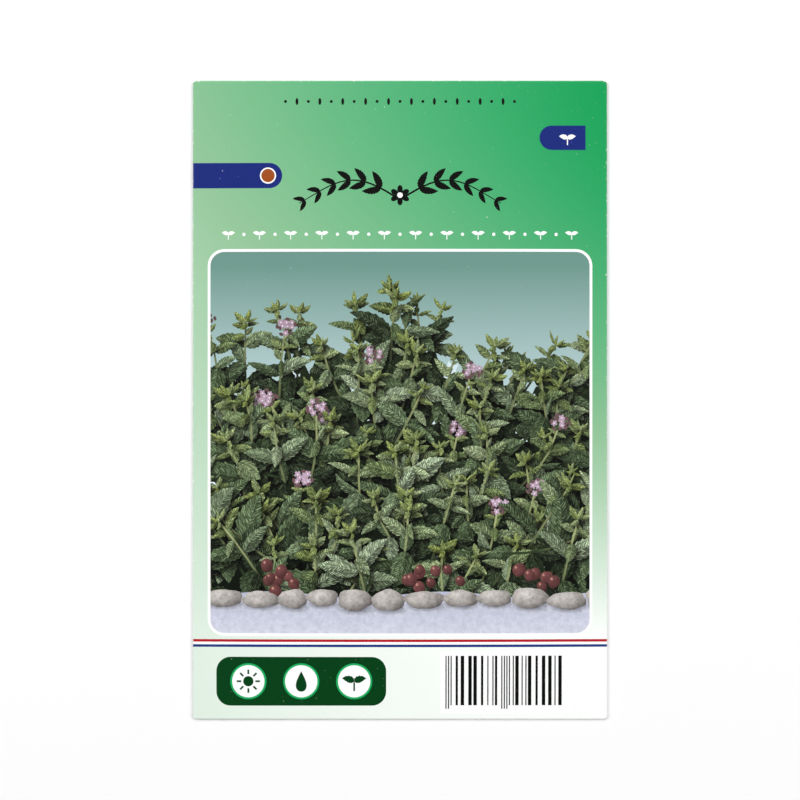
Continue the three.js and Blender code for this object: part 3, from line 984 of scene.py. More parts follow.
def print_calendar(sheet, ink, left, right):
    """Three rows of a cell for each month, with a run of coloured ones."""
    months, gap, half = 12, 0.2, 2.2
    cell = (right - left) / months
    blank = mixed(ink.back_ground, ink.ground_mid, 0.35)
    runs = ((40.0, ink.ground_deep, 2, 5), (33.6, ink.tag_dot, 4, 9), (27.2, ink.tag, 6, 10))
    for y, colour, start, stop in runs:
        for k in range(months):
            fill = colour if start <= k < stop else blank
            sheet.add(box(left + k * cell + gap, y - half, left + (k + 1) * cell - gap, y + half), fill)


def print_growing_seed(sheet, ink, x, age):
    """A white box with soil and a seed in it, and from age 1 on a stalk with a pair of leaves."""
    sheet.add(rounded_box(x - 5.6, -14.0, x + 5.6, 4.0, 1.6), ink.white)
    sheet.add(box(x - 5.2, -13.4, x + 5.2, -7.0), ink.berry, ink.berry_light, (x, -13.4), (0, 9))
    sheet.add(ellipse(x, -9.2, 0.8, 0.55, 14), ink.stone_light)
    if age:
        sheet.add(stroke([(x, -9.0), (x, -7 + 2.2 * age), (x, -6 + 3.0 * age)], 0.5), ink.plaque_bright)
        print_pair(sheet, ink.plaque_bright, x, -6.4 + 3.2 * age, 1.6 + 0.9 * age)


def front_ground(ink):
    """The front's ground: a density of green that falls from the top right to the foot, turned into
    pale, mid and deep green."""
    left, wide, high, run, even = -52.5, 105, 81, 141, 0.45

    def colour(u, v):
        across = np.clip((u - left) / wide, 0, 1)[..., None]
        down = np.clip((high - v) / run, 0, 1)[..., None]
        top = 0.55 + 0.46 * across
        foot = 0.14 * (1 - across) ** 2
        density = top + (foot - top) * down ** (1.12 + 0.4 * across)
        pale, mid, deep = (np.array(c) ** even for c in (ink.ground_pale, ink.ground_mid, ink.ground_deep))
        faded = mixed(mixed(pale, mid, np.clip(density * 2, 0, 1)), deep, np.clip(density * 2 - 1, 0, 1))
        return faded ** (1 / even)
    return colour


def back_ground(ink):
    """The back's ground: one pale green."""
    def colour(u, v):
        return np.broadcast_to(np.array(ink.back_ground), (*u.shape, 3))
    return colour


# Making meshes

LATTICE = 3.0
FOLD_LINES = 9
RAMP_LINES = 6
RIM_CLEAR = 0.01


def mesh_object(name, verts, faces, materials):
    """A smooth mesh object at the origin."""
    mesh = bpy.data.meshes.new(name)
    mesh.from_pydata(verts, [], faces)
    mesh.shade_smooth()
    for material in materials:
        mesh.materials.append(material)
    made = bpy.data.objects.new(name, mesh)
    bpy.context.collection.objects.link(made)
    return made


def new_object(name, verts, faces, materials, slot, *nodes):
    """A mesh object that rides on the packet and stands for the named nodes."""
    piece = mesh_object(name, verts, faces, materials)
    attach(piece, BODY)
    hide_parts(*nodes)
    return piece


def grid_faces(rows, columns, closed=False):
    """Four-cornered faces of a grid of points counted row by row. A closed grid joins its last column
    to its first."""
    i = np.arange(rows - 1)[:, None]
    j = np.arange(columns if closed else columns - 1)[None, :]
    after = (j + 1) % columns
    corners = [i * columns + j, i * columns + after, (i + 1) * columns + after, (i + 1) * columns + j]
    return np.stack([c.ravel() for c in np.broadcast_arrays(*corners)], -1)


def pole_faces(rings, count):
    """Two fans that close a stack of rings: the first ring's to the point after the last ring, and the
    last ring's to the next one."""
    here = np.arange(count)
    after = (here + 1) % count
    last, pole = (rings - 1) * count, np.full(count, rings * count)
    return np.vstack([np.stack([here, after, pole], -1), np.stack([after + last, here + last, pole + 1], -1)])


def fold_rows(plan, low, high):
    """Lines along the folds of a stretch of the sheet, as pairs of points, so that no triangle cuts
    across a fold: some round each half circle and some up the ramp of the inner back panel."""
    turn = np.linspace(0, 1, FOLD_LINES)
    ramp = np.linspace(plan.lap_half + plan.lap_ramp, plan.lap_half + RAMP_END, RAMP_LINES)
    u = np.concatenate([plan.front_x + turn * plan.side_turn, plan.side_end + plan.front_x - ramp])
    v = plan.front_y + turn * plan.end_turn
    both = (np.concatenate([line, -line]) for line in (u, v))
    u, v = (line[(line > low[k] + RIM_CLEAR) & (line < high[k] - RIM_CLEAR)] for k, line in enumerate(both))
    upright = np.stack(np.broadcast_arrays(u[:, None], [-plan.panel_y, plan.panel_y]), -1)
    level = np.stack(np.broadcast_arrays([-plan.flap_x, plan.flap_x], v[:, None]), -1)
    return np.concatenate([upright, level])


def paper_lattice(outline, rows):
    """Points of an even lattice inside a stretch of the sheet, with columns and rows at the folds."""
    low, high = outline.min(0), outline.max(0)
    u, v = (np.concatenate([np.arange(low[k] + LATTICE / 2, high[k], LATTICE), rows[..., k].ravel()])
            for k in (0, 1))
    points = np.stack(np.meshgrid(np.unique(u), np.unique(v)), -1).reshape(-1, 2)
    return points[inside_outline(points, outline)]


def inside_outline(points, outline):
    """Which points lie inside an outline of upright and level edges: those with an odd number of
    upright edges to their right."""
    after = np.roll(outline, -1, axis=0)
    crossings = np.zeros(len(points), int)
    for (x0, y0), (_, y1) in zip(outline, after):
        between = (points[:, 1] > min(y0, y1)) & (points[:, 1] <= max(y0, y1))
        crossings += between & (points[:, 0] < x0)
    return crossings % 2 == 1


def paper_piece(name, plan, outline, sheet, ground, materials):
    """One closed stretch of the folded sheet. Its printed side is the partition of the print, its
    inner side a plain lattice with the same rim, and both are the folded sheet moved by half
    the paper's thickness along its normals. Strips along the rim join them."""
    rows = fold_rows(plan, outline.min(0), outline.max(0))
    lattice = paper_lattice(outline, rows)
    places, triangles, top = sheet.partition(np.vstack([lattice, *sheet.extra_points]), rows)
    used, triangles = np.unique(triangles, return_inverse=True)
    triangles = triangles.reshape(-1, 3)
    places = places[used]

    edges, count = sides_of(triangles), len(places)
    rim = edges[~np.isin(*side_keys(edges))]
    rim_points, rim_rows = np.unique(rim, return_inverse=True)
    rim_rows = rim_rows.reshape(-1, 2)
    inner_points = np.vstack([places[rim_points], rows.reshape(-1, 2), lattice])
    inner_edges = np.vstack([rim_rows, row_pairs(rows, len(rim_points))]).tolist()
    inner_places, inner_triangles, _ = triangulated(inner_points, inner_edges, [])
    inner_triangles = inner_triangles[:, ::-1]
    apart = np.linalg.norm(places[rim_points][:, None] - inner_places[None], axis=-1)
    rim_inner = apart.argmin(1)[rim_rows] + count
    strips = np.stack([rim[:, 1], rim[:, 0], rim_inner[:, 0], rim_inner[:, 1]], -1)

    normals = fold_normals(plan, *places.T)
    inner_normals = fold_normals(plan, *inner_places.T)
    outer = folded(plan, *places.T) + normals * plan.paper / 2
    inner = folded(plan, *inner_places.T) - inner_normals * plan.paper / 2
    verts = np.vstack([outer, inner]) * MM
    faces = triangles.tolist() + (inner_triangles + count).tolist() + strips.tolist()
    mesh = new_object(name, verts, faces, materials, "printed_paper", "envelope").data
    slots = np.repeat([0, 1, 1], [len(triangles), len(inner_triangles), len(strips)])
    mesh.polygons.foreach_set("material_index", slots.astype(np.int32))
    paint_corners(mesh, sheet, places[triangles], top, ground)

    a, b, c = (verts[strips[:, k]] for k in range(3))
    flat = np.cross(b - a, c - a)
    flat /= np.maximum(np.linalg.norm(flat, axis=1, keepdims=True), 1e-12)
    loops = np.vstack([normals[triangles].reshape(-1, 3), -inner_normals[inner_triangles].reshape(-1, 3),
                       flat.repeat(4, axis=0)])
    mesh.normals_split_custom_set(loops.tolist())


def paint_corners(mesh, sheet, corners, top, ground):
    """Gives the printed side's corners what its material reads. ink is the colour, with the light that
    reaches it as alpha. leaf_form is the mottle, or on a leaf its turn to the light, its size, its
    youth and 1. leaf_place runs along and across a leaf's midrib, sheet_place over the flat sheet.
    The other sides come after the printed one and get plain values."""
    colours = np.ones((*corners.shape[:2], 4))
    colours[..., :3] = sheet.colours(corners, top, ground)
    form = np.zeros_like(colours)
    form[..., 0] = sheet.painted(top)["mottle"]
    leaf_place = np.zeros_like(corners)
    if sheet.leaves:
        numbers = np.array(sorted(sheet.leaves))
        table = np.array([sheet.leaves[n] for n in numbers], dtype=LEAF)
        on_leaf = np.isin(top, numbers)
        row = table[np.searchsorted(numbers, top[on_leaf])][:, None]
        along, across = arc_inverse(row, corners[on_leaf])
        leaf_place[on_leaf] = np.stack([along, across], -1)
        light = PICTURE_LIGHT[0] * -np.sin(row["angle"]) + PICTURE_LIGHT[1] * np.cos(row["angle"])
        form[on_leaf] = np.stack(np.broadcast_arrays(
            0.5 + 0.5 * light, row["length"] / 12, row["youth"], np.ones_like(along)), -1)
        in_bed = (top >= numbers[0]) & (top <= numbers[-1])
        order = top[in_bed][:, None].repeat(3, 1)
        colours[in_bed, :, 3] = 1 - shadows(sheet.raster, corners[in_bed], order)
    for name, values, plain in (("ink", colours, 1), ("leaf_form", form, 0)):
        layer = mesh.attributes.new(name, "FLOAT_COLOR", "CORNER")
        layer.data.foreach_set("color", all_corners(mesh, values, plain))
    for name, values in (("leaf_place", leaf_place), ("sheet_place", corners)):
        layer = mesh.uv_layers.new(name=name)
        layer.data.foreach_set("uv", all_corners(mesh, values, 0))


def all_corners(mesh, values, plain):
    """One flat row of values for all corners of a mesh: those of its first faces, and then plain ones."""
    wide = values.shape[-1]
    filled = np.full((len(mesh.loops), wide), plain, dtype=np.float32)
    filled[:values[..., 0].size] = values.reshape(-1, wide)
    return filled.ravel()


def front_outline(plan):
    """The front with its four folds: a cross whose arms are the folds."""
    quarter = np.array([
        (plan.side_end, plan.panel_y), (plan.front_x, plan.panel_y), (plan.front_x, plan.front_y),
        (plan.flap_x, plan.front_y), (plan.flap_x, plan.end_end)], float)
    return np.vstack([quarter, (quarter * [-1, 1])[::-1], quarter * [-1, -1], (quarter * [1, -1])[::-1]])


def thick_sheet(middle, normals, thickness):
    """Points and faces of a sheet of even thickness: the grid moved both ways along its normals, with
    strips round its rim."""
    rows, columns = middle.shape[:2]
    count = rows * columns
    points = np.concatenate([(middle + normals * thickness / 2).reshape(-1, 3),
                             (middle - normals * thickness / 2).reshape(-1, 3)])
    up = grid_faces(rows, columns)
    index = np.arange(count).reshape(rows, columns)
    rim = np.concatenate([index[0], index[1:, -1], index[-1, -2::-1], index[-2:0:-1, 0]])
    after = np.roll(rim, -1)
    strips = np.stack([after, rim, rim + count, after + count], -1)
    return points, np.concatenate([up, up[:, ::-1] + count, strips])


# Shader expressions

def both_ways(operation):
    """An operator of wires and its reflected form, which swaps the two values."""
    return (lambda wire, other: wire.join(operation, wire, other),
            lambda wire, other: wire.join(operation, other, wire))


class Wire:
    """A socket that takes part in Python arithmetic. Each step adds a Math node, or a Vector Math node
    where a colour or a vector takes part."""

    def __init__(self, shader, socket):
        self.shader = shader
        self.socket = socket

    def other(self, name):
        """Another output of the node that this one comes from."""
        return Wire(self.shader, self.socket.node.outputs[name])

    def join(self, operation, *values):
        """A Math node's operation on values, or a Vector Math node's where one is a colour or a vector."""
        wide = any(isinstance(v, Wire) and v.socket.type in {"RGBA", "VECTOR"} for v in values)
        kind = "ShaderNodeVectorMath" if wide else "ShaderNodeMath"
        return self.shader.node(kind, {"operation": operation}, dict(enumerate(values)))

    __add__, __radd__ = both_ways("ADD")
    __sub__, __rsub__ = both_ways("SUBTRACT")
    __mul__, __rmul__ = both_ways("MULTIPLY")
    __truediv__, __rtruediv__ = both_ways("DIVIDE")

    def __gt__(self, other):
        return self.join("GREATER_THAN", self, other)

    def __abs__(self):
        return self.join("ABSOLUTE", self)

    def fraction(self):
        """What lies past the whole number."""
        return self.join("FRACT", self)

    def rise(self, low, high):
        """0 below low, 1 above high, and a smooth step between."""
        return self.shader.node(
            "ShaderNodeMapRange", {"interpolation_type": "SMOOTHSTEP"},
            {"Value": self, "From Min": low, "From Max": high},
        )


class Shader:
    """The nodes of one material round its Principled BSDF."""

    def __init__(self, name, **constants):
        self.material = bpy.data.materials.new(name)
        self.material.use_nodes = True
        self.nodes = self.material.node_tree.nodes
        self.links = self.material.node_tree.links
        self.surface = self.nodes["Principled BSDF"]
        for socket, value in constants.items():
            self.surface.inputs[socket.replace("_", " ")].default_value = value

    def node(self, kind, settings=None, inputs=None, out=0):
        """Adds a node: its type, its settings, then the values or links of its sockets."""
        made = self.nodes.new(kind)
        for name, value in (settings or {}).items():
            setattr(made, name, value)
        for name, value in (inputs or {}).items():
            socket = made.inputs[name]
            if isinstance(value, Wire):
                self.links.new(value.socket, socket)
            elif socket.type in {"VECTOR", "RGBA"} and np.ndim(value) == 0:
                socket.default_value = [value] * len(socket.default_value)
            elif socket.type == "RGBA":
                socket.default_value = [*value][:3] + [1.0]
            else:
                socket.default_value = value
        return Wire(self, made.outputs[out])

    def attribute(self, name):
        """A colour attribute of the mesh's corners."""
        return self.node("ShaderNodeAttribute", {"attribute_name": name}, out="Color")

    def uv_parts(self, name):
        """Both parts of a UV map."""
        uv = self.node("ShaderNodeUVMap", {"uv_map": name})
        first = self.node("ShaderNodeSeparateXYZ", {}, {0: uv})
        return first, first.other("Y")

    def object_place(self):
        """Object coordinates, in metres."""
        return self.node("ShaderNodeTexCoord", out="Object")

    def noise(self, place, scale, detail=2.0, roughness=0.5):
        """Smooth noise from 0 to 1 with scale features to the metre."""
        return self.node("ShaderNodeTexNoise", {}, {
            "Vector": place, "Scale": scale, "Detail": detail, "Roughness": roughness})

    def cells(self, place, scale, feature="DISTANCE_TO_EDGE", randomness=1.0):
        """Distance to the edge, or to the middle, of irregular cells, with scale cells to the metre."""
        return self.node("ShaderNodeTexVoronoi", {"feature": feature}, {
            "Vector": place, "Scale": scale, "Randomness": randomness})

    def stretched(self, place, *factors):
        """A place with its axes multiplied: a pattern is drawn out along those with small factors."""
        return self.node("ShaderNodeVectorMath", {"operation": "MULTIPLY"}, {0: place, 1: factors})

    def blend(self, share, first, second):
        """A colour between two colours."""
        return self.node("ShaderNodeMix", {"data_type": "RGBA"}, {0: share, 6: first, 7: second}, out=2)

    def bump(self, height, strength, distance):
        """A normal from a height that is measured in units of distance, which is in metres."""
        return self.node("ShaderNodeBump", {}, {"Height": height, "Strength": strength, "Distance": distance})

    def feed(self, **wires):
        """Links wires to the surface's sockets and gives the material."""
        for socket, wire in wires.items():
            self.links.new(wire.socket, self.surface.inputs[socket.replace("_", " ")])
        return self.material


def leaf_ink(s, place, ink, facing, size, youth):
    """A leaf's print: ribs that run out from the midrib with puckers between them, one half lit and the
    other in shade, a pale midrib and glints on what swells most."""
    along, across = s.uv_parts("leaf_place")
    aside = abs(across)
    wander = s.noise(place, 900.0, 1.0) - 0.5
    pitch = 0.4 + size * 0.36
    ribs = (along - aside * (0.65 + aside * 0.22) + wander * 0.4) / pitch
    furrow = abs(ribs.fraction() - 0.5).rise(0.22, 0.5)
    quilt = s.node("ShaderNodeCombineXYZ", {}, {0: ribs, 1: across / pitch * 0.5, 2: facing * 40.0})
    swell = s.cells(quilt, 1.15, randomness=0.8).rise(0.0, 0.34)
    pucker = s.noise(place, 2600.0, 2.0, 0.6)
    half_light = 1 + ((across > 0) * 2 - 1) * (facing - 0.5) * 0.9
    relief = (1 - furrow * 0.66) * (0.4 + swell * 1.16) * (0.27 + pucker * 1.6) * half_light
    midrib = 1 - aside.rise(0.06, 0.2)
    leaf = s.blend(midrib * 0.4, ink * relief, ink * 1.4 + 0.02)
    glint = (swell * (0.4 + pucker) * (1 - furrow)).rise(0.6, 0.95) * (1 - youth * 0.7) * 0.5
    return s.blend(glint, leaf, ink * 2.1 + 0.06)


def fold_wear(s, place, plan):
    """Where the ink is rubbed off: specks that come closer along the folds and at the corners."""
    u, v = s.uv_parts("sheet_place")
    past_side = abs(u) - (plan.front_x + plan.side_turn * 0.45)
    past_end = abs(v) - (plan.front_y + plan.end_turn * 0.45)
    side = 1 - abs(past_side).rise(0.1, 0.55)
    end = 1 - abs(past_end).rise(0.15, 0.7)
    corner = past_side.rise(-2.2, 0.0) * past_end.rise(-2.2, 0.0)
    specks = s.noise(place, 1500.0, 3.0, 0.65)
    return (specks + side * 0.125 + end * 0.125 + corner * 0.1).rise(0.69, 0.83)


def printed_material(contents, plan):
    """Offset print on coated paper. The ink comes from the sheet's attributes, leaves get their ribs
    from their own coordinates, and white paper shows where folds have rubbed."""
    s = Shader("printed paper", IOR=1.46, Specular_IOR_Level=0.3, Coat_Roughness=0.15, Coat_IOR=1.45)
    place = s.object_place()
    ink = s.attribute("ink")
    form = s.attribute("leaf_form")
    on_leaf = form.other("Alpha")
    facing = s.node("ShaderNodeSeparateColor", {}, {0: form})
    leaf = leaf_ink(s, place, ink, facing, facing.other("Green"), facing.other("Blue"))
    blotch = 1 + (s.noise(place, 700.0, 4.0, 0.7) - 0.5) * (1 - on_leaf) * facing * 2.2
    lit = ink.other("Alpha").rise(-0.15, 1.0)
    colour = s.blend(on_leaf, ink * blotch, leaf) * (lit * lit * 0.98 + 0.02)
    grain = s.noise(place, 5200.0, 2.0, 0.7)
    cloud = s.noise(place, 60.0, 2.0)
    colour = colour * (0.985 + grain * 0.03) * (0.99 + cloud * 0.02)
    rubbed = fold_wear(s, place, plan)
    colour = s.blend(rubbed, colour, mixed(contents.paper_colour, (1, 1, 1), 0.6))

    fibre = s.noise(place, 1800.0, 3.0, 0.6)
    dents = s.noise(place, 160.0, 2.0)
    normal = s.bump(fibre * 0.4 + dents * 2.0 - rubbed * 0.8, 0.35, 0.00003)
    return s.feed(Base_Color=colour, Roughness=0.2 + fibre * 0.08 + rubbed * 0.35, Normal=normal,
                  Coat_Weight=0.2 - rubbed * 0.2)


def bare_paper_material(contents):
    """The unprinted inside and the cut edges: white uncoated paper with fibres."""
    s = Shader("bare paper", IOR=1.45)
    place = s.object_place()
    fibre = s.noise(s.stretched(place, 1.0, 0.35, 1.0), 2400.0, 3.0, 0.65)
    cloud = s.noise(place, 220.0, 3.0)
    shade = mixed(contents.paper_colour, (0.55, 0.52, 0.46), 0.35)
    colour = s.blend(fibre * 0.35, contents.paper_colour, shade) * (0.96 + cloud * 0.08)
    return s.feed(Base_Color=colour, Roughness=0.72 + fibre * 0.2, Normal=s.bump(fibre + cloud, 0.5, 0.00003))


def glue_material(contents):
    """Dried glue: cream with patches of amber, a wavy skin and small pits."""
    s = Shader("dried glue", IOR=1.5, Coat_Roughness=0.1, Transmission_Weight=0.25)
    place = s.object_place()
    skin = s.noise(place, 500.0, 3.0)
    pits = 1 - s.cells(place, 900.0, "F1").rise(0.05, 0.25)
    colour = s.blend(skin, mixed(contents.glue_colour, (0.5, 0.36, 0.16), 0.4), contents.glue_colour)
    return s.feed(Base_Color=colour, Roughness=0.18 + skin * 0.2 + pits * 0.2,
                  Normal=s.bump(skin - pits, 0.6, 0.00003), Coat_Weight=0.3 + skin * 0.2)


def foil_material(contents):
    """Satin foil laminate: fine rolling lines, crinkles, and creases that are duller and also darkened in colour
    as painted shade.
    """
    s = Shader("sachet foil", IOR=1.5, Coat_Roughness=0.15)
    place = s.object_place()
    lines = s.noise(s.stretched(place, 1.0, 0.04, 1.0), 5000.0, 2.0)
    crinkle = s.cells(place + s.noise(place, 120.0, 2.0) * 0.004, 210.0)
    # Creases are really duller (less metallic, rougher), and their colour is darkened as painted shade
    crease_dulling_and_shade = 1 - crinkle.rise(0.0, 0.09)
    cloud = s.noise(place, 90.0, 3.0)
    dull = mixed(contents.foil_colour, (0.35, 0.36, 0.38), 0.5)
    colour = s.blend(cloud * 0.6 + crease_dulling_and_shade * 0.3, contents.foil_colour, dull)
    return s.feed(Base_Color=colour, Metallic=0.92 - crease_dulling_and_shade * 0.25,
                  Roughness=0.26 + lines * 0.12 + crease_dulling_and_shade * 0.2,
                  Normal=s.bump(crinkle.rise(0.0, 0.3) + lines * 0.15, 0.7, 0.00012))


def seed_material(contents):
    """Dull seed coat: patches of lighter and darker brown under a net of dark rough furrows."""
    s = Shader("seed coat", IOR=1.45, Coat_Roughness=0.4)
    place = s.object_place()
    net = s.cells(place, 6500.0)
    net_lines = 1 - net.rise(0.0, 0.12)
    each = s.noise(place, 700.0, 2.0)
    dark = mixed(contents.seed_colour, (0.01, 0.006, 0.004), 0.5)
    light = mixed(contents.seed_colour, (0.35, 0.22, 0.12), 0.45)
    colour = s.blend(net_lines * 0.4, s.blend(each.rise(0.3, 0.75), dark, light), dark)
    return s.feed(Base_Color=colour, Roughness=0.5 + net_lines * 0.3,
                  Normal=s.bump(net.rise(0.0, 0.2), 0.6, 0.00004), Coat_Weight=0.1 + each * 0.1)


def paper_settings(scene):
    """What the five stretches of the sheet share: the inks, the fold plan, and the materials of the
    printed and the bare side, which are made once."""
    plan = fold_plan(scene.packet_sizes)
    made, contents = bpy.data.materials, scene.packet_contents
    printed = made.get("printed paper") or printed_material(contents, plan)
    bare = made.get("bare paper") or bare_paper_material(contents)
    return scene.print_colours, plan, (printed, bare)


# The pieces

class PACKET_OT_front(Operator):
    """The printed front and its four folds"""

    bl_idname = "packet.front"
    bl_label = "Front"

    def execute(self, context):
        ink, plan, materials = paper_settings(context.scene)
        rng = np.random.default_rng(context.scene.packet_contents.seed)
        outline = front_outline(plan)
        sheet = Print(outline)
        print_picture(sheet, ink, rng)
        print_marks(sheet, ink, plan, rng)
        paper_piece("envelope_front", plan, outline, sheet, front_ground(ink), materials)
        return {"FINISHED"}


class PACKET_OT_back(Operator):
    """The two back panels, which lap along the middle"""

    bl_idname = "packet.back"
    bl_label = "Back panels"

    def execute(self, context):
        ink, plan, materials = paper_settings(context.scene)
        for name, side in (("envelope_back_outer", -1), ("envelope_back_inner", 1)):
            reach = sorted((side * plan.side_end, side * plan.lap_end))
            outline = box(reach[0], -plan.panel_y, reach[1], plan.panel_y)
            sheet = Print(outline)
            print_back(sheet, ink, plan, side)
            paper_piece(name, plan, outline, sheet, back_ground(ink), materials)
        return {"FINISHED"}


class PACKET_OT_flaps(Operator):
    """The bottom and the top flap, turned over the back"""

    bl_idname = "packet.flaps"
    bl_label = "Flaps"

    def execute(self, context):
        ink, plan, materials = paper_settings(context.scene)
        flaps = (("envelope_bottom_flap", -1, plan.bottom_flap), ("envelope_top_flap", 1, plan.top_flap))
        for name, end, depth in flaps:
            reach = sorted((end * plan.end_end, end * (plan.end_end + depth)))
            outline = box(-plan.flap_x, reach[0], plan.flap_x, reach[1])
            paper_piece(name, plan, outline, Print(outline), front_ground(ink), materials)
        return {"FINISHED"}


class PACKET_OT_sachet(Operator):
    """The two foil webs of the sachet, sealed round their rim"""

    bl_idname = "packet.sachet"
    bl_label = "Sachet"

    def execute(self, context):
        contents = context.scene.packet_contents
        material = foil_material(contents)
        foil, seal_gap = contents.foil / MM, 0.025
        level = SACHET_LOW[2] / MM + foil / 2
        for name, upper in (("sachet_lower_web", False), ("sachet_upper_web", True)):
            middle, normals = self.web(contents, level, foil + seal_gap, upper)
            points, faces = thick_sheet(middle, normals, foil)
            new_object(name + "_foil", points * MM, faces.tolist(), [material], "sachet_foil", name)
        return {"FINISHED"}

    def web(self, contents, level, step, upper):
        """A web's middle surface: flat with fine crimps in the sealed rim, z = level + ribs, and for the
        upper one lifted by pillow^0.7 times air, seeds and small tucks that run in from the rim."""
        half, seal = SACHET_HALF, contents.seal / MM
        rib_height, rib_pitch, soft, tuck = 0.012, 1.9, 0.8, 0.1
        x, y = np.meshgrid(np.linspace(-half[0], half[0], 121), np.linspace(-half[1], half[1], 171))
        from_rim = np.minimum(half[0] - np.abs(x), half[1] - np.abs(y))
        in_seal = 1 - smooth((from_rim - seal + soft) / soft)
        y_packet = y + SACHET_MIDDLE
        z = level + rib_height * np.sin(2 * np.pi * from_rim / rib_pitch) * in_seal
        if upper:
            inner = half - seal
            inside = pillow(x, y_packet, inner[0], SACHET_MIDDLE - inner[1], SACHET_MIDDLE + inner[1])
            tucks = tuck * slow_waves(x, y_packet, 8, 10, 30, 7) * smooth(inside * 2)
            lift = contents.sachet_rise / MM + contents.heap_cover / MM * over_heap(x, y_packet)
            z = z + step + inside ** 0.7 * (lift + tucks)
        middle = np.stack([x, y_packet, z], -1)
        return middle, unit_normals(np.gradient(middle, axis=1), np.gradient(middle, axis=0))


class PACKET_OT_glue(Operator):
    """The three lines of dried glue"""

    bl_idname = "packet.glue"
    bl_label = "Glue lines"

    def execute(self, context):
        contents = context.scene.packet_contents
        material = glue_material(contents)
        for k, node in enumerate(("glue_back_seam", "glue_bottom_flap", "glue_top_flap")):
            low, high = (np.array(corner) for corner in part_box(node))
            points, faces = self.line(low, high, contents.seed + k)
            new_object(node + "_bead", points, faces, [material], "dried_glue", node)
        return {"FINISHED"}

    def line(self, low, high, start):
        """A flat bead with round ends and an uneven rim: rings of a stadium outline, shrunk by r on the
        top and the bottom, with z = half thickness times (1 - 0.96 r^8)^0.5."""
        middle, size = (low + high) / 2, high - low
        rng = np.random.default_rng(start)
        count = 240
        t = full_turn(count)
        radius = min(size[0], size[1]) / 2
        power = np.stack([np.cos(t), np.sin(t)], -1)
        straight = size[:2] / 2 - radius
        rim = np.sign(power) * straight * np.clip(np.abs(power) * 6, 0, 1) + power * radius
        uneven = sum(rng.uniform(0.2, 1) * np.sin(t * n + rng.uniform(0, 6)) for n in (7, 13, 22, 37))
        rim *= (1 - 0.02 * (1 + uneven / 3))[:, None]
        share = np.array([0.25, 0.5, 0.72, 0.88, 0.96, 1.0])
        rings = np.concatenate([share, share[-2::-1]])
        sides = np.repeat([1, -1], [len(share), len(share) - 1])
        height = sides * size[2] / 2 * np.sqrt(1 - rings ** 8 * 0.96)
        flat = rings[:, None, None] * rim
        points = np.concatenate([flat, np.broadcast_to(height[:, None, None], (*flat.shape[:2], 1))], -1)
        poles = np.array([[0, 0, size[2] / 2], [0, 0, -size[2] / 2]])
        sides_and_ends = grid_faces(len(rings), count, closed=True)[:, ::-1].tolist()
        sides_and_ends += pole_faces(len(rings), count).tolist()
        return np.vstack([points.reshape(-1, 3), poles]) + middle, sides_and_ends


class PACKET_OT_seeds(Operator):
    """The heap of loose seeds"""

    bl_idname = "packet.seeds"
    bl_label = "Seeds"

    def execute(self, context):
        contents = context.scene.packet_contents
        rng = np.random.default_rng(contents.seed + 9)
        long, wide = contents.seed_length / MM, contents.seed_width / MM
        places = self.heap(rng, long, wide)
        points, faces = self.many(rng, places, long, wide)
        material = seed_material(contents)
        new_object("seeds_loose", points * MM, faces.tolist(), [material], "seed_coat", "seeds")
        return {"FINISHED"}

    def heap(self, rng, long, wide):
        """Middles of the seeds: two staggered layers, the upper one only where the heap is thick enough,
        0.6 (1 - r^2.5)^0.5, with r a share of its reach."""
        reach_x, reach_y, spare = 23, 17, 0.36
        rows = []
        for layer in range(2):
            y, x = np.mgrid[-20:20:wide * 1.3, -26:26:long * 1.06]
            x = x + (np.arange(len(y))[:, None] % 2) * long * 0.53
            share = np.hypot(x / reach_x, y / reach_y)
            room = 0.6 * np.sqrt(np.clip(1 - share ** 2.5, 0, None))
            z = np.full(x.shape, wide / 2 + layer * wide * 0.82)
            rows.append(np.stack([x, y, z], -1)[(share < 0.97) & (z < room + spare)])
        places = np.vstack(rows)
        places[:, :2] += rng.normal(0, 0.05, (len(places), 2))
        places += (0, HEAP_MIDDLE, HEAP_LOW[2] / MM)
        return places

    def many(self, rng, places, long, wide):
        """A flattened egg for each place, turned about z at random: rings of points between two poles at
        x = long cos(a) / 2, each an ellipse wide sin(a) across, swollen by 0.12 cos(a) in y and
        0.92 times as high."""
        rings, count = 5, 6
        a = np.linspace(0, np.pi, rings + 2)[1:-1, None]
        t = np.arange(count) * np.pi / 3
        ring = np.stack(np.broadcast_arrays(
            0.5 * long * np.cos(a), 0.5 * wide * np.sin(a) * np.cos(t) * (1 + 0.12 * np.cos(a)),
            0.5 * wide * np.sin(a) * np.sin(t) * 0.92), -1).reshape(-1, 3)
        egg = np.vstack([ring, [(0.5 * long, 0, 0), (-0.5 * long, 0, 0)]])
        sides = grid_faces(rings, count, closed=True)
        faces = np.vstack([sides[:, [0, 2, 1]], sides[:, [0, 3, 2]], pole_faces(rings, count)])
        turn = rng.uniform(-0.5, 0.5, len(places))
        cos, sin = np.cos(turn)[:, None], np.sin(turn)[:, None]
        x, y, z = (np.broadcast_to(egg[:, k], (len(places), len(egg))) for k in range(3))
        points = np.stack([x * cos - y * sin, x * sin + y * cos, z], -1) + places[:, None, :]
        every = faces[None] + (np.arange(len(places)) * len(egg))[:, None, None]
        return points.reshape(-1, 3), every.reshape(-1, 3)


# Two large soft boxes stand left and right, as on a copy stand, and a third above the packet's top edge.
# Each has its place in metres and its share of the light's power
SOFT_BOXES = (
    ("soft box left", (-1.0, 0.26, 1.05), 1.0),
    ("soft box right", (1.0, 0.09, 1.05), 0.865),
    ("soft box top", (0.0, 0.95, 1.15), 0.745),
)
SOFT_BOX_SIDE = 0.8
SENSOR = 36


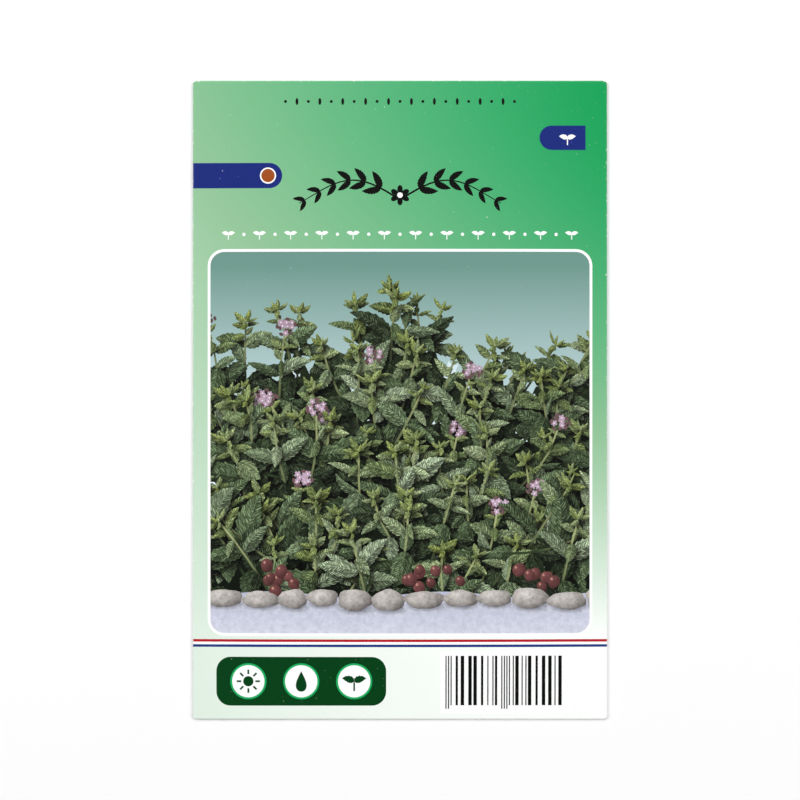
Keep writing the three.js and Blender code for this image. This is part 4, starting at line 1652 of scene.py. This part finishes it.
class PACKET_OT_stage(Operator):
    """The floor, the lights and the camera"""

    bl_idname = "packet.stage"
    bl_label = "Stage"

    def execute(self, context):
        scene = context.scene
        stage = scene.packet_stage
        self.floor(stage)
        self.lights(scene, stage)
        camera_data = bpy.data.cameras.new("camera")
        camera_data.lens = stage.lens
        camera_data.sensor_width = SENSOR
        camera = bpy.data.objects.new("camera", camera_data)
        camera.location.z = scene.packet_sizes.edge_rise + stage.frame_side * stage.lens / SENSOR
        scene.collection.objects.link(camera)
        scene.camera = camera
        scene.view_settings.view_transform = "Standard"
        return {"FINISHED"}

    def floor(self, stage):
        """A floor that is flat round the packet and sweeps up to a low wall: z = rise (3t^2 - 2t^3), with
        t going from 0 to 1 over the run past the flat middle. Lengths are in metres."""
        side, flat, run, rise, count = 4.0, 1.5, 2.5, 1.4, 81
        x, y = np.meshgrid(np.linspace(-side, side, count), np.linspace(-side, side, count))
        z = rise * smooth((np.hypot(x, y) - flat) / run)
        s = Shader("floor", Roughness=0.8)
        cloud = s.noise(s.object_place(), 3.0, 2.0)
        cloudy = mixed(stage.floor_colour, (0.9, 0.9, 0.9), 0.3)
        material = s.feed(Base_Color=s.blend(cloud * 0.5, stage.floor_colour, cloudy))
        points = np.stack([x, y, z], -1).reshape(-1, 3)
        floor = mesh_object("floor", points, grid_faces(count, count).tolist(), [material])

    def lights(self, scene, stage):
        """The soft boxes, each turned to the packet, and an even light from the room."""
        for name, place, share in SOFT_BOXES:
            data = bpy.data.lights.new(name, "AREA")
            data.size = SOFT_BOX_SIDE
            data.energy = stage.light_power * share
            light = bpy.data.objects.new(name, data)
            light.location = place
            light.rotation_euler = (-Vector(place)).to_track_quat("-Z", "Y").to_euler()
            scene.collection.objects.link(light)
        world = bpy.data.worlds.new("room")
        world.use_nodes = True
        background = world.node_tree.nodes["Background"]
        background.inputs["Color"].default_value = (1, 1, 1, 1)
        background.inputs["Strength"].default_value = stage.sky_light
        scene.world = world


class PACKET_PT_sidebar(Panel):
    """Lists the pieces and their settings in the sidebar"""

    bl_label = "Seed packet"
    bl_idname = "PACKET_PT_sidebar"
    bl_space_type = "VIEW_3D"
    bl_region_type = "UI"
    bl_category = "Seed packet"

    def draw(self, context):
        for operator in OPERATORS:
            self.layout.operator(operator.bl_idname)
        for group in SETTINGS:
            settings = getattr(context.scene, group)
            column = self.layout.column(heading=group)
            for name in settings.__annotations__:
                column.prop(settings, name)


OPERATORS = (
    PACKET_OT_stage, PACKET_OT_front, PACKET_OT_back, PACKET_OT_flaps, PACKET_OT_glue, PACKET_OT_sachet,
    PACKET_OT_seeds,
)
SETTINGS = {
    "packet_sizes": PacketSizes, "print_colours": PrintColours, "packet_contents": ContentsSettings,
    "packet_stage": StageSettings,
}


def register():
    """Registers the classes and gives the scene its settings."""
    for each in (*SETTINGS.values(), *OPERATORS, PACKET_PT_sidebar):
        bpy.utils.register_class(each)
    for name, group in SETTINGS.items():
        setattr(bpy.types.Scene, name, PointerProperty(type=group))


def unregister():
    """Undoes what register does."""
    for name in SETTINGS:
        delattr(bpy.types.Scene, name)
    for each in reversed((*SETTINGS.values(), *OPERATORS, PACKET_PT_sidebar)):
        bpy.utils.unregister_class(each)


def main():
    register()
    bpy.ops.packet.stage()
    bpy.ops.packet.front()
    bpy.ops.packet.back()
    bpy.ops.packet.flaps()
    bpy.ops.packet.glue()
    bpy.ops.packet.sachet()
    bpy.ops.packet.seeds()


if __name__ == "__main__":
    main()
